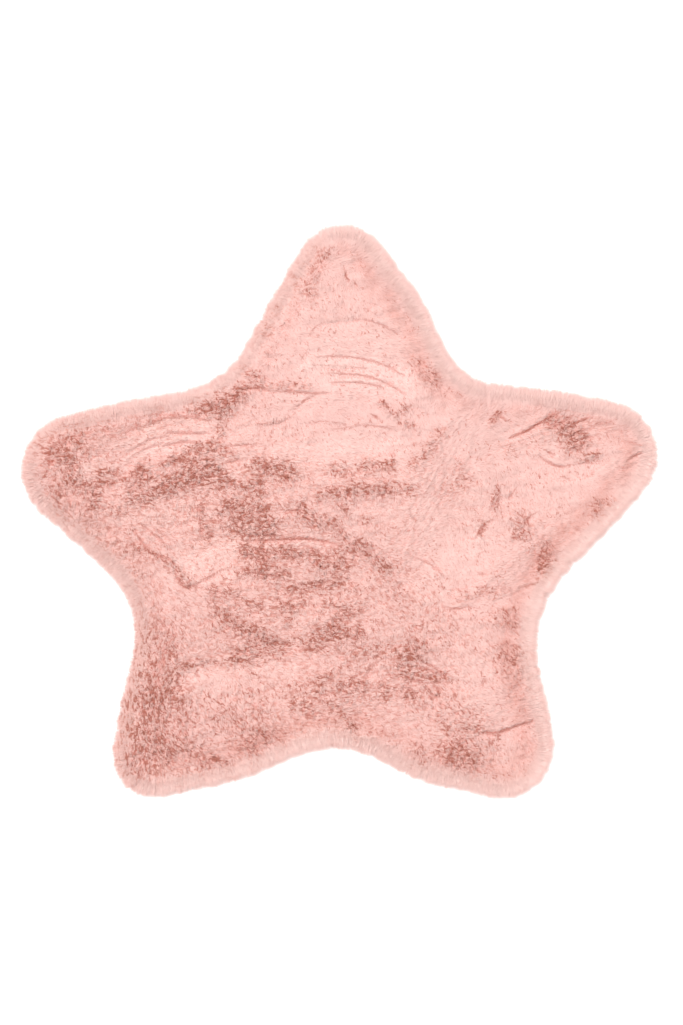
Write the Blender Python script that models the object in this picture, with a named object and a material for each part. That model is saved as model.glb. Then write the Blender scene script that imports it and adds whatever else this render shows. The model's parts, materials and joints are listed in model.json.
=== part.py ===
"""Star-shaped floor rug of pink plush faux rabbit fur, lying flat with its pile up.

One cut of pile cloth is the whole rug, so it is one solid: a flat underside, a lumpy and
brushed top, and a rim of pointed locks that fall outwards over the cloth's edge.

Units are metres and +Z is up. The underside lies on z = 0, and the origin is under the middle
of the rug's box. Seen from above, +Y points to the star's top tip.
"""

import math
import random

import bmesh
import bpy
import numpy as np
from mathutils.geometry import delaunay_2d_cdt

# The star's ten corners, in order round the rug, anticlockwise from above. A tip is an arc about
# a centre inside the rug, and a notch is an arc about a centre outside it. The bow is how far the
# side that follows swells outwards past a straight line between its two arcs.
# (name, kind, centre x, centre y, radius, bow)
CORNERS = (
    ("top tip", "tip", 0.004, 0.338, 0.066, 0.001),
    ("upper left notch", "notch", -0.242, 0.291, 0.125, 0.003),
    ("left arm", "tip", -0.372, 0.058, 0.077, -0.001),
    ("left notch", "notch", -0.408, -0.175, 0.121, 0.002),
    ("left leg", "tip", -0.262, -0.346, 0.058, 0.008),
    ("bottom notch", "notch", -0.007, -0.458, 0.125, 0.010),
    ("right leg", "tip", 0.229, -0.333, 0.072, 0.002),
    ("right notch", "notch", 0.431, -0.192, 0.155, 0.002),
    ("right arm", "tip", 0.373, 0.080, 0.075, 0.003),
    ("upper right notch", "notch", 0.222, 0.256, 0.078, 0.008),
)

PILE_HEIGHT = 0.0185  # usual height of the pile's surface over the floor
CROWN_DEPTH = 0.0020  # how much lower the pile is where the shoulder starts
CROWN_WIDTH = 0.050  # how far in from the shoulder the pile is back at its usual height

# The rim, ring by ring from the underside up to the shoulder: how far each ring lies inside the
# fur's outline, and its height over the floor.
# (name, inset, height)
RIM_RINGS = (
    ("edge of the cloth", 0.020, 0.0),
    ("lower lock roots", 0.012, 0.0020),
    ("upper lock roots", 0.014, 0.0125),
    ("shoulder", 0.026, 0.0168),
)
RIM_PLACES = 146  # places round the rim, each with one lower and one upper lock

LOCK_REACH = 0.0155  # how far a lock's point stands out from its root
LOCK_UNEVEN = 0.0030  # a lock is longer or shorter than that by up to this much
LOCK_SWAY = 0.0055  # how far a point leans to either side
LOCK_DROP = 0.0035  # how much lower a lock's point is than the middle of its root
LOCK_WAIST = 0.52  # how far along a lock its full middle is, as a share of its length
LOCK_FULLNESS = 0.86  # how wide a lock is there, as a share of its root
LOCK_ARCH = 0.0012  # how far its middle arches up, over a straight line to the point
LOCK_FLOOR_GAP = 0.0012  # a point stays at least this far over the floor

# Broad places where hands have moved the pile. Brushed flat it lies lower, and stroked against
# its lie it stands higher. The turn is the long side's angle from +X.
# (name, x, y, length, width, turn in degrees, lift)
PATCHES = (
    ("top arm, brushed flat", 0.022, 0.199, 0.130, 0.050, 0, -0.0030),
    ("top arm, left edge, raised", -0.105, 0.250, 0.070, 0.022, 62, 0.0020),
    ("top arm, right foot, raised", 0.128, 0.196, 0.040, 0.030, 40, 0.0020),
    ("upper left notch, raised", -0.165, 0.160, 0.090, 0.035, 15, 0.0030),
    ("left arm, brushed flat", -0.268, 0.100, 0.190, 0.050, 14, -0.0032),
    ("left arm, raised band", -0.262, 0.038, 0.210, 0.032, 24, 0.0028),
    ("left arm, tip, raised", -0.388, 0.068, 0.050, 0.045, 80, 0.0022),
    ("left arm, lower tip, raised", -0.365, 0.010, 0.045, 0.030, -40, 0.0024),
    ("left of centre, cupped", -0.252, -0.010, 0.085, 0.060, -20, -0.0022),
    ("left of centre, brushed flat", -0.180, -0.068, 0.080, 0.055, 20, -0.0032),
    ("middle, raised", -0.128, -0.012, 0.065, 0.042, -15, 0.0030),
    ("middle, brushed flat", 0.035, 0.092, 0.100, 0.045, 8, -0.0026),
    ("middle, raised band", 0.035, 0.040, 0.130, 0.026, 0, 0.0026),
    ("middle, raised streaks", -0.085, -0.075, 0.090, 0.040, -22, 0.0024),
    ("middle, raised slope", 0.030, -0.055, 0.120, 0.024, -38, 0.0026),
    ("below the middle, raised bowl", -0.110, -0.165, 0.110, 0.028, -32, 0.0028),
    ("below the middle, raised tuft", 0.002, -0.160, 0.055, 0.032, 30, 0.0028),
    ("left leg, brushed flat", -0.150, -0.240, 0.150, 0.075, 12, -0.0026),
    ("left leg, raised edge", -0.275, -0.250, 0.150, 0.035, 80, 0.0022),
    ("left leg, raised hollow", -0.222, -0.312, 0.055, 0.040, 45, 0.0024),
    ("bottom, raised arch", -0.020, -0.262, 0.085, 0.030, 12, 0.0024),
    ("right of the bottom, raised tuft", 0.105, -0.200, 0.040, 0.040, 0, 0.0028),
    ("right leg, round raised spot", 0.178, -0.338, 0.052, 0.052, 0, 0.0030),
    ("right leg, brushed flat", 0.250, -0.320, 0.120, 0.080, 75, -0.0018),
    ("right notch, raised", 0.262, -0.200, 0.055, 0.030, 80, 0.0024),
    ("right arm, ruffled", 0.325, 0.108, 0.080, 0.055, -35, 0.0026),
    ("right arm, brushed flat", 0.255, 0.050, 0.150, 0.080, 60, -0.0020),
    ("right arm, raised streak", 0.262, -0.010, 0.055, 0.022, 65, 0.0024),
    ("right arm, lower raised spot", 0.300, -0.075, 0.050, 0.022, 55, 0.0022),
    ("right of the middle, brushed flat", 0.160, -0.070, 0.140, 0.100, 15, -0.0020),
)

PATCH_EDGE = 1.5  # above 1, a patch is flatter over its middle and ends more sharply

# Narrow furrows where the pile is parted, each along a bowed line from one end to the other. The
# bow is how far the middle of the line lies to the left of a straight one.
# (name, start x, start y, end x, end y, bow, width, depth)
FURROWS = (
    ("top arm, arc", -0.065, 0.258, 0.078, 0.246, 0.016, 0.008, 0.0022),
    ("top arm, upper stroke", -0.035, 0.222, 0.085, 0.208, 0.010, 0.008, 0.0024),
    ("top arm, lower stroke", -0.030, 0.202, 0.080, 0.190, 0.008, 0.008, 0.0024),
    ("top arm, last stroke", -0.028, 0.184, 0.078, 0.166, 0.006, 0.008, 0.0020),
    ("top arm, hook", 0.012, 0.340, 0.022, 0.312, -0.006, 0.009, 0.0026),
    ("left arm, upper stroke", -0.342, 0.080, -0.200, 0.126, 0.018, 0.009, 0.0028),
    ("left arm, middle stroke", -0.335, 0.066, -0.190, 0.106, 0.015, 0.008, 0.0024),
    ("left arm, lower stroke", -0.322, 0.052, -0.185, 0.090, 0.012, 0.009, 0.0030),
    ("left arm, cross cut", -0.168, 0.140, -0.172, 0.078, 0.003, 0.010, 0.0030),
    ("left of centre, outer cup", -0.300, 0.000, -0.205, -0.056, -0.018, 0.009, 0.0024),
    ("left of centre, inner cup", -0.285, 0.006, -0.212, -0.028, -0.015, 0.008, 0.0022),
    ("left of centre, corner", -0.228, -0.078, -0.205, -0.108, 0.000, 0.010, 0.0032),
    ("middle, long stroke", -0.165, -0.036, 0.020, -0.044, 0.006, 0.009, 0.0028),
    ("middle, second stroke", -0.140, -0.062, -0.028, -0.096, 0.010, 0.009, 0.0028),
    ("middle, third stroke", -0.090, -0.118, 0.020, -0.100, 0.002, 0.009, 0.0030),
    ("middle, slope", -0.020, 0.002, 0.075, -0.088, -0.010, 0.011, 0.0030),
    ("below the middle, bowl", -0.185, -0.112, 0.002, -0.158, -0.052, 0.012, 0.0030),
    ("left leg, boundary", -0.238, -0.240, -0.075, -0.188, 0.014, 0.010, 0.0026),
    ("bottom, arch", -0.060, -0.268, 0.032, -0.300, 0.030, 0.010, 0.0026),
    ("first finger mark", 0.085, -0.186, 0.145, -0.216, 0.006, 0.010, 0.0032),
    ("second finger mark", 0.090, -0.205, 0.148, -0.236, 0.005, 0.010, 0.0030),
    ("third finger mark", 0.088, -0.226, 0.138, -0.258, 0.004, 0.010, 0.0028),
    ("right leg, thin crease", 0.196, -0.313, 0.288, -0.290, -0.004, 0.008, 0.0028),
    ("right leg, upper crease", 0.228, -0.288, 0.268, -0.236, 0.006, 0.008, 0.0022),
    ("right arm, long crease", 0.222, 0.105, 0.312, 0.152, 0.004, 0.009, 0.0030),
    ("right arm, first ruffle", 0.296, 0.126, 0.332, 0.140, 0.004, 0.010, 0.0032),
    ("right arm, second ruffle", 0.308, 0.102, 0.348, 0.120, 0.004, 0.010, 0.0032),
    ("right arm, third ruffle", 0.314, 0.080, 0.358, 0.098, 0.004, 0.010, 0.0030),
    ("right arm, last ruffle", 0.282, 0.066, 0.352, 0.070, -0.010, 0.010, 0.0028),
    ("right of the middle, smile", 0.148, -0.130, 0.192, -0.130, -0.006, 0.008, 0.0020),
)
FURROW_PITCH = 0.011  # points along a furrow
FURROW_BANK = 0.8  # a row of points on each bank, this share of the width from the bottom line
FURROW_GAP = 0.0050  # where furrows meet, their points are no nearer than this

# The pile's own lumps, as waves that cross each other.
# (wavelength, direction in degrees, phase in degrees, height)
LUMP_WAVES = (
    (0.092, 12, 40, 0.00050),
    (0.071, 74, 155, 0.00050),
    (0.055, 131, 20, 0.00045),
    (0.043, 38, 290, 0.00040),
    (0.036, 98, 75, 0.00035),
    (0.031, 160, 210, 0.00030),
)

TOP_PITCH = 0.0125  # spacing of the points over the top
TOP_JITTER = 0.0018  # how far such a point is moved from its place in the even pattern
POINT_GAP = 0.0070  # a point of the even pattern is left out nearer than this to another
SHOULDER_GAP = 0.0080  # and nearer than this to the shoulder ring
SAME_POINT = 1e-6  # points nearer than this count as one
INSIDE_ONLY = 1  # the way of joining points that fills the ring and leaves out what lies beyond it

OUTLINE_STEPS = 48  # fine steps along each arc and each side, before they are spaced evenly
PLUSH_COLOUR = (0.888, 0.552, 0.491, 1.0)
PLUSH_ROUGHNESS = 0.95
SMOOTH_UNDER = math.radians(50)
SEED = 11


def clear_scene():
    for thing in list(bpy.data.objects):
        bpy.data.objects.remove(thing, do_unlink=True)


def side_normals():
    """The outward normal's angle on the side that follows each corner.

    A tip counts its radius as positive and a notch as negative, so both are centre + radius *
    normal, and the side touches both arcs.
    """
    angles = []
    for here, there in zip(CORNERS, CORNERS[1:] + CORNERS[:1]):
        ahead = np.subtract(there[2:4], here[2:4])
        drop = signed_radius(here) - signed_radius(there)
        angles.append(math.atan2(ahead[1], ahead[0]) - math.acos(drop / np.hypot(*ahead)))
    return angles


def signed_radius(corner):
    return corner[4] if corner[1] == "tip" else -corner[4]


def direction(angle):
    return np.array((math.cos(angle), math.sin(angle)))


def fine_outline():
    """The fur's outline as fine steps: each corner's arc, then the bowed side that follows."""
    normals = side_normals()
    points = []
    for i, corner in enumerate(CORNERS):
        following = CORNERS[(i + 1) % len(CORNERS)]
        centre = np.array(corner[2:4])
        next_centre = np.array(following[2:4])
        full_turn = 2 * math.pi
        turn = (normals[i] - normals[i - 1]) % full_turn
        if corner[1] == "notch":
            turn -= full_turn
        for step in range(OUTLINE_STEPS):
            angle = normals[i - 1] + turn * step / OUTLINE_STEPS
            points.append(centre + signed_radius(corner) * direction(angle))
        outward = direction(normals[i])
        start = centre + signed_radius(corner) * outward
        end = next_centre + signed_radius(following) * outward
        for step in range(OUTLINE_STEPS):
            share = step / OUTLINE_STEPS
            swell = corner[5] * math.sin(math.pi * share) ** 2
            points.append(start + (end - start) * share + outward * swell)
    return np.array(points)


def even_outline(count, shift=0.0):
    """Points at even steps along the outline, and the outward direction at each."""
    fine = fine_outline()
    closed = np.vstack((fine, fine[:1]))
    walked = np.concatenate(([0.0], np.cumsum(np.hypot(*np.diff(closed, axis=0).T))))
    wanted = (np.arange(count) + shift) / count * walked[-1]
    points = np.column_stack([np.interp(wanted, walked, closed[:, axis]) for axis in (0, 1)])
    along = np.roll(points, -1, axis=0) - np.roll(points, 1, axis=0)
    outward = np.column_stack((along[:, 1], -along[:, 0]))
    return points, outward / np.hypot(*outward.T)[:, None]


def furrow_line(furrow):
    """Points along a furrow's bottom, and the direction across it at each."""
    start, end, bow = np.array(furrow[1:3]), np.array(furrow[3:5]), furrow[5]
    length = np.hypot(*(end - start))
    across = np.array((start[1] - end[1], end[0] - start[0])) / length
    share = np.linspace(0, 1, max(4, round(length / FURROW_PITCH) + 1))[:, None]
    points = start + (end - start) * share + across * bow * np.sin(math.pi * share)
    along = np.gradient(points, axis=0)
    sideways = np.column_stack((-along[:, 1], along[:, 0]))
    return points, sideways / np.hypot(*sideways.T)[:, None]


def distance_to(points, others):
    """How far each of the points is from the nearest of the others."""
    gaps = points[:, None, :] - others[None, :, :]
    return np.sqrt((gaps**2).sum(axis=2)).min(axis=1)


def pile_height(points):
    """Height of the pile's surface over the floor at points inside the shoulder."""
    x, y = points.T
    height = np.full(len(points), PILE_HEIGHT)
    for _, middle_x, middle_y, length, width, turn, lift in PATCHES:
        along, across = direction(math.radians(turn)), direction(math.radians(turn + 90))
        offset = points - (middle_x, middle_y)
        far = (offset @ along / (length / 2)) ** 2 + (offset @ across / (width / 2)) ** 2
        height += lift * np.exp(-(far**PATCH_EDGE))
    for furrow in FURROWS:
        line, _ = furrow_line(furrow)
        width, depth = furrow[6:]
        height -= depth * np.exp(-((distance_to(points, line) / width) ** 2))
    for wavelength, turn, phase, size in LUMP_WAVES:
        way = direction(math.radians(turn))
        height += size * np.sin(2 * math.pi * points @ way / wavelength + math.radians(phase))
    return height


def crowned(height, from_shoulder):
    """Lowers the pile near the shoulder, so that the rug's edge is soft and round."""
    share = np.clip(1 - from_shoulder / CROWN_WIDTH, 0, 1)
    return height - CROWN_DEPTH * share**2


def top_points(shoulder):
    """Points over the top inside the shoulder: along the furrows first, then an even pattern."""
    rows = []
    for furrow in FURROWS:
        line, sideways = furrow_line(furrow)
        bank = sideways * furrow[6] * FURROW_BANK
        rows += [line, (line + bank)[1:-1:2], (line - bank)[1:-1:2]]
    kept = []
    for point in np.vstack(rows):
        if not kept or np.hypot(*(np.array(kept) - point).T).min() > FURROW_GAP:
            kept.append(point)
    chance = random.Random(SEED)
    low, high = shoulder.min(axis=0), shoulder.max(axis=0)
    row_step = TOP_PITCH * math.sqrt(3) / 2
    for row in range(int((high[1] - low[1]) / row_step) + 1):
        for place in range(int((high[0] - low[0]) / TOP_PITCH) + 1):
            x = low[0] + (place + 0.5 * (row % 2)) * TOP_PITCH
            y = low[1] + row * row_step
            moved = [chance.uniform(-TOP_JITTER, TOP_JITTER) for _ in "xy"]
            point = np.array((x, y)) + moved
            if np.hypot(*(np.array(kept) - point).T).min() > POINT_GAP:
                kept.append(point)
    kept = np.array(kept)
    return kept[inside(kept, shoulder) & (distance_to(kept, shoulder) > SHOULDER_GAP)]


def inside(points, ring):
    """Which of the points lie inside a closed ring: a ray to +X crosses it an odd number of times."""
    crossings = np.zeros(len(points), int)
    x, y = points.T
    for (x0, y0), (x1, y1) in zip(ring, np.roll(ring, -1, axis=0)):
        if y0 != y1:
            meets = (y0 > y) != (y1 > y)
            crossings += meets & (x < x0 + (y - y0) / (y1 - y0) * (x1 - x0))
    return crossings % 2 == 1


def add_ring(bm, name):
    """One ring of the rim, at its inset and height. Every second ring is half a place further on."""
    index = [ring[0] for ring in RIM_RINGS].index(name)
    _, inset, height = RIM_RINGS[index]
    points, outward = even_outline(RIM_PLACES, shift=0.5 * (index % 2))
    points = points - outward * inset
    heights = np.full(RIM_PLACES, height)
    if name == "shoulder":
        heights += pile_height(points) - PILE_HEIGHT
    return [bm.verts.new((x, y, z)) for (x, y), z in zip(points, heights)]


def band(bm, lower, upper, upper_ahead):
    """Triangles between two rings. The upper ring's places lie half a step ahead, or behind."""
    count = len(lower)
    faces = []
    for i in range(count):
        after = (i + 1) % count
        if upper_ahead:
            faces.append(bm.faces.new((lower[i], lower[after], upper[i])))
            faces.append(bm.faces.new((upper[i], lower[after], upper[after])))
        else:
            faces.append(bm.faces.new((lower[i], upper[after], upper[i])))
            faces.append(bm.faces.new((lower[i], lower[after], upper[after])))
    return faces


def draw_out_lock(bm, face, chance):
    """Turns a three-sided face of the rim into a full, pointed lock, its root fused to the rug."""
    middle = face.calc_center_median()
    outward = face.normal.copy()
    outward.z = 0
    outward.normalize()
    sideways = outward.cross((0, 0, 1))
    reach = LOCK_REACH + chance.uniform(-LOCK_UNEVEN, LOCK_UNEVEN)
    point = middle + outward * reach + sideways * chance.uniform(-LOCK_SWAY, LOCK_SWAY)
    point.z = max(middle.z - LOCK_DROP, LOCK_FLOOR_GAP)
    tip = bm.verts.new(point)
    root = list(face.verts)
    waist_middle = middle.lerp(point, LOCK_WAIST)
    waist_middle.z += LOCK_ARCH
    waist = [bm.verts.new(waist_middle + (vert.co - middle) * LOCK_FULLNESS) for vert in root]
    bm.faces.remove(face)
    for i in range(3):
        after = (i + 1) % 3
        bm.faces.new((root[i], root[after], waist[i]))
        bm.faces.new((waist[i], root[after], waist[after]))
        bm.faces.new((waist[i], waist[after], tip))


def add_rim(bm):
    """The rim from the cloth's edge to the shoulder, with its locks. Returns those two rings."""
    cloth_edge, lower_roots, upper_roots, shoulder = [add_ring(bm, ring[0]) for ring in RIM_RINGS]
    band(bm, cloth_edge, lower_roots, upper_ahead=True)
    lock_faces = band(bm, lower_roots, upper_roots, upper_ahead=False)
    band(bm, upper_roots, shoulder, upper_ahead=True)
    bm.normal_update()
    chance = random.Random(SEED)
    for face in lock_faces:
        draw_out_lock(bm, face, chance)
    return cloth_edge, shoulder


def add_top(bm, shoulder):
    """The brushed top, from the shoulder ring inwards."""
    ring = np.array([vert.co[:2] for vert in shoulder])
    spots = np.vstack((ring, top_points(ring)))
    count = len(ring)
    edges = [(i, (i + 1) % count) for i in range(count)]
    placed, _, faces, origins, _, _ = delaunay_2d_cdt(
        [tuple(spot) for spot in spots], edges, [], INSIDE_ONLY, SAME_POINT
    )
    flat = np.array([tuple(spot) for spot in placed])
    heights = crowned(pile_height(flat), distance_to(flat, ring))
    verts = []
    for spot, height, origin in zip(flat, heights, origins):
        on_ring = [i for i in origin if i < count]
        verts.append(shoulder[on_ring[0]] if on_ring else bm.verts.new((*spot, height)))
    for face in faces:
        bm.faces.new([verts[i] for i in face])


def centre_on_origin(bm):
    """Moves the rug so that the origin is under the middle of its box."""
    spots = np.array([vert.co for vert in bm.verts])
    middle = (spots.min(axis=0) + spots.max(axis=0)) / 2
    bmesh.ops.translate(bm, verts=bm.verts, vec=(-middle[0], -middle[1], 0))


def plush_material():
    material = bpy.data.materials.new("pink_plush")
    material.use_nodes = True
    shader = material.node_tree.nodes["Principled BSDF"]
    shader.inputs["Base Color"].default_value = PLUSH_COLOUR
    shader.inputs["Roughness"].default_value = PLUSH_ROUGHNESS
    shader.inputs["Metallic"].default_value = 0.0
    return material


def build_rug():
    bm = bmesh.new()
    cloth_edge, shoulder = add_rim(bm)
    add_top(bm, shoulder)
    underside = bm.faces.new(list(reversed(cloth_edge)))
    bmesh.ops.triangulate(bm, faces=[underside])
    centre_on_origin(bm)
    bmesh.ops.recalc_face_normals(bm, faces=bm.faces)
    mesh = bpy.data.meshes.new("star_rug")
    bm.to_mesh(mesh)
    bm.free()
    mesh.shade_smooth()
    mesh.set_sharp_from_angle(angle=SMOOTH_UNDER)
    mesh.materials.append(plush_material())
    rug = bpy.data.objects.new("star_rug", mesh)
    bpy.context.scene.collection.objects.link(rug)


clear_scene()
build_rug()
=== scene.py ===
import json
import math

import bpy
import numpy as np
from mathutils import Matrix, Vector
from mathutils.bvhtree import BVHTree
from mathutils.kdtree import KDTree

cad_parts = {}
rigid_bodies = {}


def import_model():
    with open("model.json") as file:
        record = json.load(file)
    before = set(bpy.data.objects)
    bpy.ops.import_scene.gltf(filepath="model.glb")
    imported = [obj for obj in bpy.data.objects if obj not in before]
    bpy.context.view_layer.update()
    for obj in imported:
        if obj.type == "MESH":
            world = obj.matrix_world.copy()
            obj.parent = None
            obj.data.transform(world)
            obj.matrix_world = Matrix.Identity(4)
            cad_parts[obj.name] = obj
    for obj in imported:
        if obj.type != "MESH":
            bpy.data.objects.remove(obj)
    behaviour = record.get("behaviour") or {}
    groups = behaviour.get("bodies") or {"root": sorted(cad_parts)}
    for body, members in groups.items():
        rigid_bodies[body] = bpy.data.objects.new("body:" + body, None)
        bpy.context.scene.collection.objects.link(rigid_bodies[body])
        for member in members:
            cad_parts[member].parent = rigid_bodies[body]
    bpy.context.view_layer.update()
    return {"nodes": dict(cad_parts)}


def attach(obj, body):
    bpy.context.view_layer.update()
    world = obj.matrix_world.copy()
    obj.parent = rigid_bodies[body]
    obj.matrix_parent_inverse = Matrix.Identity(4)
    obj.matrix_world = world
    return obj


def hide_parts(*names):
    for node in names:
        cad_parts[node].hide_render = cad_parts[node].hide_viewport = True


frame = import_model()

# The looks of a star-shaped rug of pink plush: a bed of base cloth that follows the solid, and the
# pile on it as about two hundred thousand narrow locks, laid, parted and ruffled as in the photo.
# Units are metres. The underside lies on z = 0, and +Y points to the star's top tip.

# The photo's scale, for the places below that are read off it in its pixels.
PIXEL = 0.0014085  # 0.90 m across the side arms, which are 639 pixels apart
PHOTO_MIDDLE = (339.0, 512.2)
PHOTO_SIZE = (683, 1025)

# Bed: the base cloth and the dense foot of the pile, brushed into soft ridges and partings.
BED_TOP = 0.0152  # height that the solid's highest place is brought down to
WIDEST_PLACE = 0.0078  # how far the bed swells out past its cloth's edge
EDGE_PITCH = 0.001  # between the points that the rug's edge is followed by
EDGE_SPAN = 0.010  # the outward direction at each is taken over so much of the edge to both sides
ROOTS_REACH = 0.0017  # what lies further out than this from the widest place is a lock
RIM_ROUNDING = 0.020  # how far in from there the brushing starts to show in full
RIDGE_HEIGHT = 0.00035  # of the ridges that a stroke leaves along its way
RIDGE_PITCH = 0.0105
RIDGE_SWAY = 1.5  # how far the ridges sway to the side, in radians of their pitch
RIDGE_SWAY_SIZE = 0.045
TUFT_RELIEF = 0.0009  # unevenness of the ruffled places
TUFT_SIZE = 0.0080
LAID_TUFTS = 0.12  # how much of it the laid pile has too
SWELL_SHARE = 0.35  # how high the wider swells are, as a share of it
SWELL_SIZE = 0.019
PARTING_DEPTH = 0.0011
PARTING_WIDTH = 0.0022
BANK_SHARE = 0.45  # how high the pile is banked up beside a parting, as a share of its depth
FLOOR_GAP = 0.0003
SUNK = 0.0010  # how deep a lock's foot stands in the bed

# Slopes that are too fine for the bed. They only turn the way in which the locks catch the light.
PARTING_SLOPE = 1.1  # how far a parting's slope shows
CURL_RELIEF = 0.00042  # height of small curls in ruffled pile
CURL_RELIEF_SIZE = 0.0120
CALM_SHARE = 0.16  # how much of that height curls have in smooth pile
STROKE_RELIEF = 0.00022  # height of the fine lines that a hand leaves
STROKE_LINE_PITCH = 0.0050
STROKE_LINE_SWAY = 2.2
STROKE_LINE_SWAY_SIZE = 0.030
SLOPE_STEP = 0.0002

# Locks of the pile, each a narrow curved leaf of fibres.
LOCK_PITCH = 0.00150
LOCK_SCATTER = 0.42  # how far a lock is moved from the even pattern, as a share of the pitch
LOCK_LENGTH = 0.0082
LOCK_WIDTH = 0.0015
LOCK_WIDTHS = (0.7, 1.25)  # the narrowest and the widest, as shares of that
MIDDLE_PLACE = 0.52  # how far up its middle is, as a share of the lock
MIDDLE_WIDTH = 0.86  # a lock's width at its middle, as a share of its foot's
LENGTH_SPREAD = 0.12
ARCH = 0.10  # how far a lock bows up over a straight line, as a share of its length
FACING_UP = 0.9  # light passes through the pile at the rim, so it is lit as if it faced up so far
OWN_SHADING = 0.14  # how far a lock is lit as a leaf of its own, and not as the bed below it

LAY = math.radians(-68)  # the way the pile lies where no hand has moved it
LAY_SWING = math.radians(24)
LAY_SWING_SIZE = 0.17
LAY_TURNS = 0.6  # smaller turns of the lay, as a share of the swing
LAY_TURN_SIZE = 0.05
STROKE_HOLD = 2.2  # how strongly a stroke turns the pile its own way
UNRULY_SIZE = 0.011  # of the places where locks turn aside together
UNRULY = 0.20  # how far they turn, then how much more in ruffled pile and how much less in flat
UNRULY_RUFFLED = 0.95
UNRULY_FLAT = 0.12
FLAT_RISE = math.radians(8)  # how steeply locks stand where the pile is brushed flat
USUAL_RISE = math.radians(12)
RAISED_RISE = math.radians(27)
RISE_SPREAD = math.radians(3)
RISE_SWAY = math.radians(4)
RISE_SWAY_SIZE = 0.010
TURN_SPREAD = math.radians(11)
LAID_ROLL = math.radians(8)  # how far a lock is rolled about its own length
RAISED_ROLL = math.radians(18)

TUFT_PITCH = 0.0044  # locks cling together in tufts about this far apart
TUFT_SCATTER = 0.45
LAID_CLING = 0.16  # how far a lock's tip is drawn to its tuft's, as a share of the way
RAISED_CLING = 0.50
CLING_SPREAD = 0.10
CLING_MOST = 0.9
TIP_CLING = (1, 1, 0.5)  # along x, y and z
MIDDLE_CLING = (0.15, 0.15, 0)
CREASE_SHORTER = 0.15  # how much shorter locks are at a crease, and where they are ruffled
RUFFLED_SHORTER = 0.10

# Rim: rows of locks round the cloth's edge, which fall outwards to the floor.
# (row, inset from the widest place, height, rise in degrees, length)
RIM_ROWS = (
    ("lowest", 0.0010, 0.0020, -4, 0.0100),
    ("low", 0.0000, 0.0040, 2, 0.0106),
    ("middle", 0.0005, 0.0062, 8, 0.0110),
    ("high", 0.0020, 0.0084, 14, 0.0114),
    ("shoulder", 0.0045, 0.0102, 18, 0.0116),
)
RIM_PITCH = 0.0009
RIM_SCATTER = 0.0006
RIM_HEIGHT_SPREAD = 0.0005
RIM_LENGTH_SPREAD = 0.08
RIM_TURN_SPREAD = 0.16
RIM_RISE_SPREAD = 7  # degrees
RIM_LOCK_WIDTH = 0.0012
RIM_WIDTHS = (0.6, 1.1)
RIM_FACING = 1.38  # how far up the lowest row is lit from, in radians
RIM_FACING_STEP = 0.04  # how much further each row above it
RIM_UNEVEN = 0.16  # how unevenly its locks catch the light
RIM_WIDTH = 0.034  # how far in from the edge the pile turns outwards
RIM_TURN = 1.6  # how strongly it turns there, and how soon
RIM_TURN_CURVE = 0.8
SCALLOP_PITCH = 0.026
SCALLOP_DEPTH = 0.0008
SCALLOP_TURN = 0.16
RIM_DROP = 0.0040  # how far the tips of its locks fall
RIM_DROPS = (0.4, 1.0)
FRINGE_COUNT = 100000  # fine hairs that stand out past the locks of the rim
FRINGE_LOWEST = 0.002  # height of the lowest hairs, and how much higher the highest are
FRINGE_CLIMB = 0.010
FRINGE_INSET = 0.001  # how far in from the edge the lowest stand, and how much further the highest
FRINGE_BEHIND = 0.010
FRINGE_TURN_SPREAD = 0.24
FRINGE_RISE = -6  # degrees, of the lowest, then how much steeper the highest
FRINGE_STEEPER = 26
FRINGE_RISE_SPREAD = 5
FRINGE_LENGTH = (0.0128, 0.0265)
FRINGE_LENGTHS = (1.3, 2.6)  # the beta distribution's shape: most hairs are short
FRINGE_DROPS = (0.3, 1.0)
FRINGE_WIDTH = 0.00045
FRINGE_WIDTHS = (0.7, 1.3)

# Tone of the rim: paler at its edge, with painted light and painted shade that are stronger on one side
# of the star.
# the side of the rim with the most painted light and painted shade
RIM_PAINTED_SIDE = math.radians(-20)
RIM_PALE = 0.020  # how far in from the edge the pile is paler
RIM_PALENESS = 0.66
RIM_SIDE_LIGHT = 0.28  # how much more painted light the rim has on that side
RIM_SHADE = 0.23  # painted shade inside the rim, where the pile turns over to lie outwards
RIM_SHADE_INSET = 0.027
RIM_SHADE_WIDTH = 0.016
# how much of that painted shade lies all round, and how much more on the painted side
RIM_SHADE_ALL_ROUND = 0.6
RIM_SIDE_SHADE = 0.55
RIM_CALM = 0.8  # how far ruffles and creases fade out towards the edge
RIM_CALM_SIDE = 0.6  # how much less they do on the side away from the painted light
RIM_GLOW_LOCKS = 0.60  # how far the loosest locks and hairs are mixed toward a brighter pink: painted light, for light passing through them
RIM_GLOW_HAIRS = 0.80
# how strong that painted light is all round, and how much stronger on the painted side
RIM_GLOW_ALL_ROUND = 0.75
RIM_GLOW_SIDE = 0.30
RIM_GLOW_REACH = 0.009  # how far out past the edge that painted light is at its strongest

# Tone of the pile.
PARTED_DARK = 0.50  # painted shade along a crease
FLAT_PALE = 0.45  # how pale the palest flat place is painted, a painted sheen
OWN_RUFFLED = 0.08  # how much single locks differ in depth, darkness and paleness
OWN_DARK = 0.05
OWN_PALE = 0.07
UNEVEN_DARK = 0.05
UNEVEN_DARK_SIZE = 0.028
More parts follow.
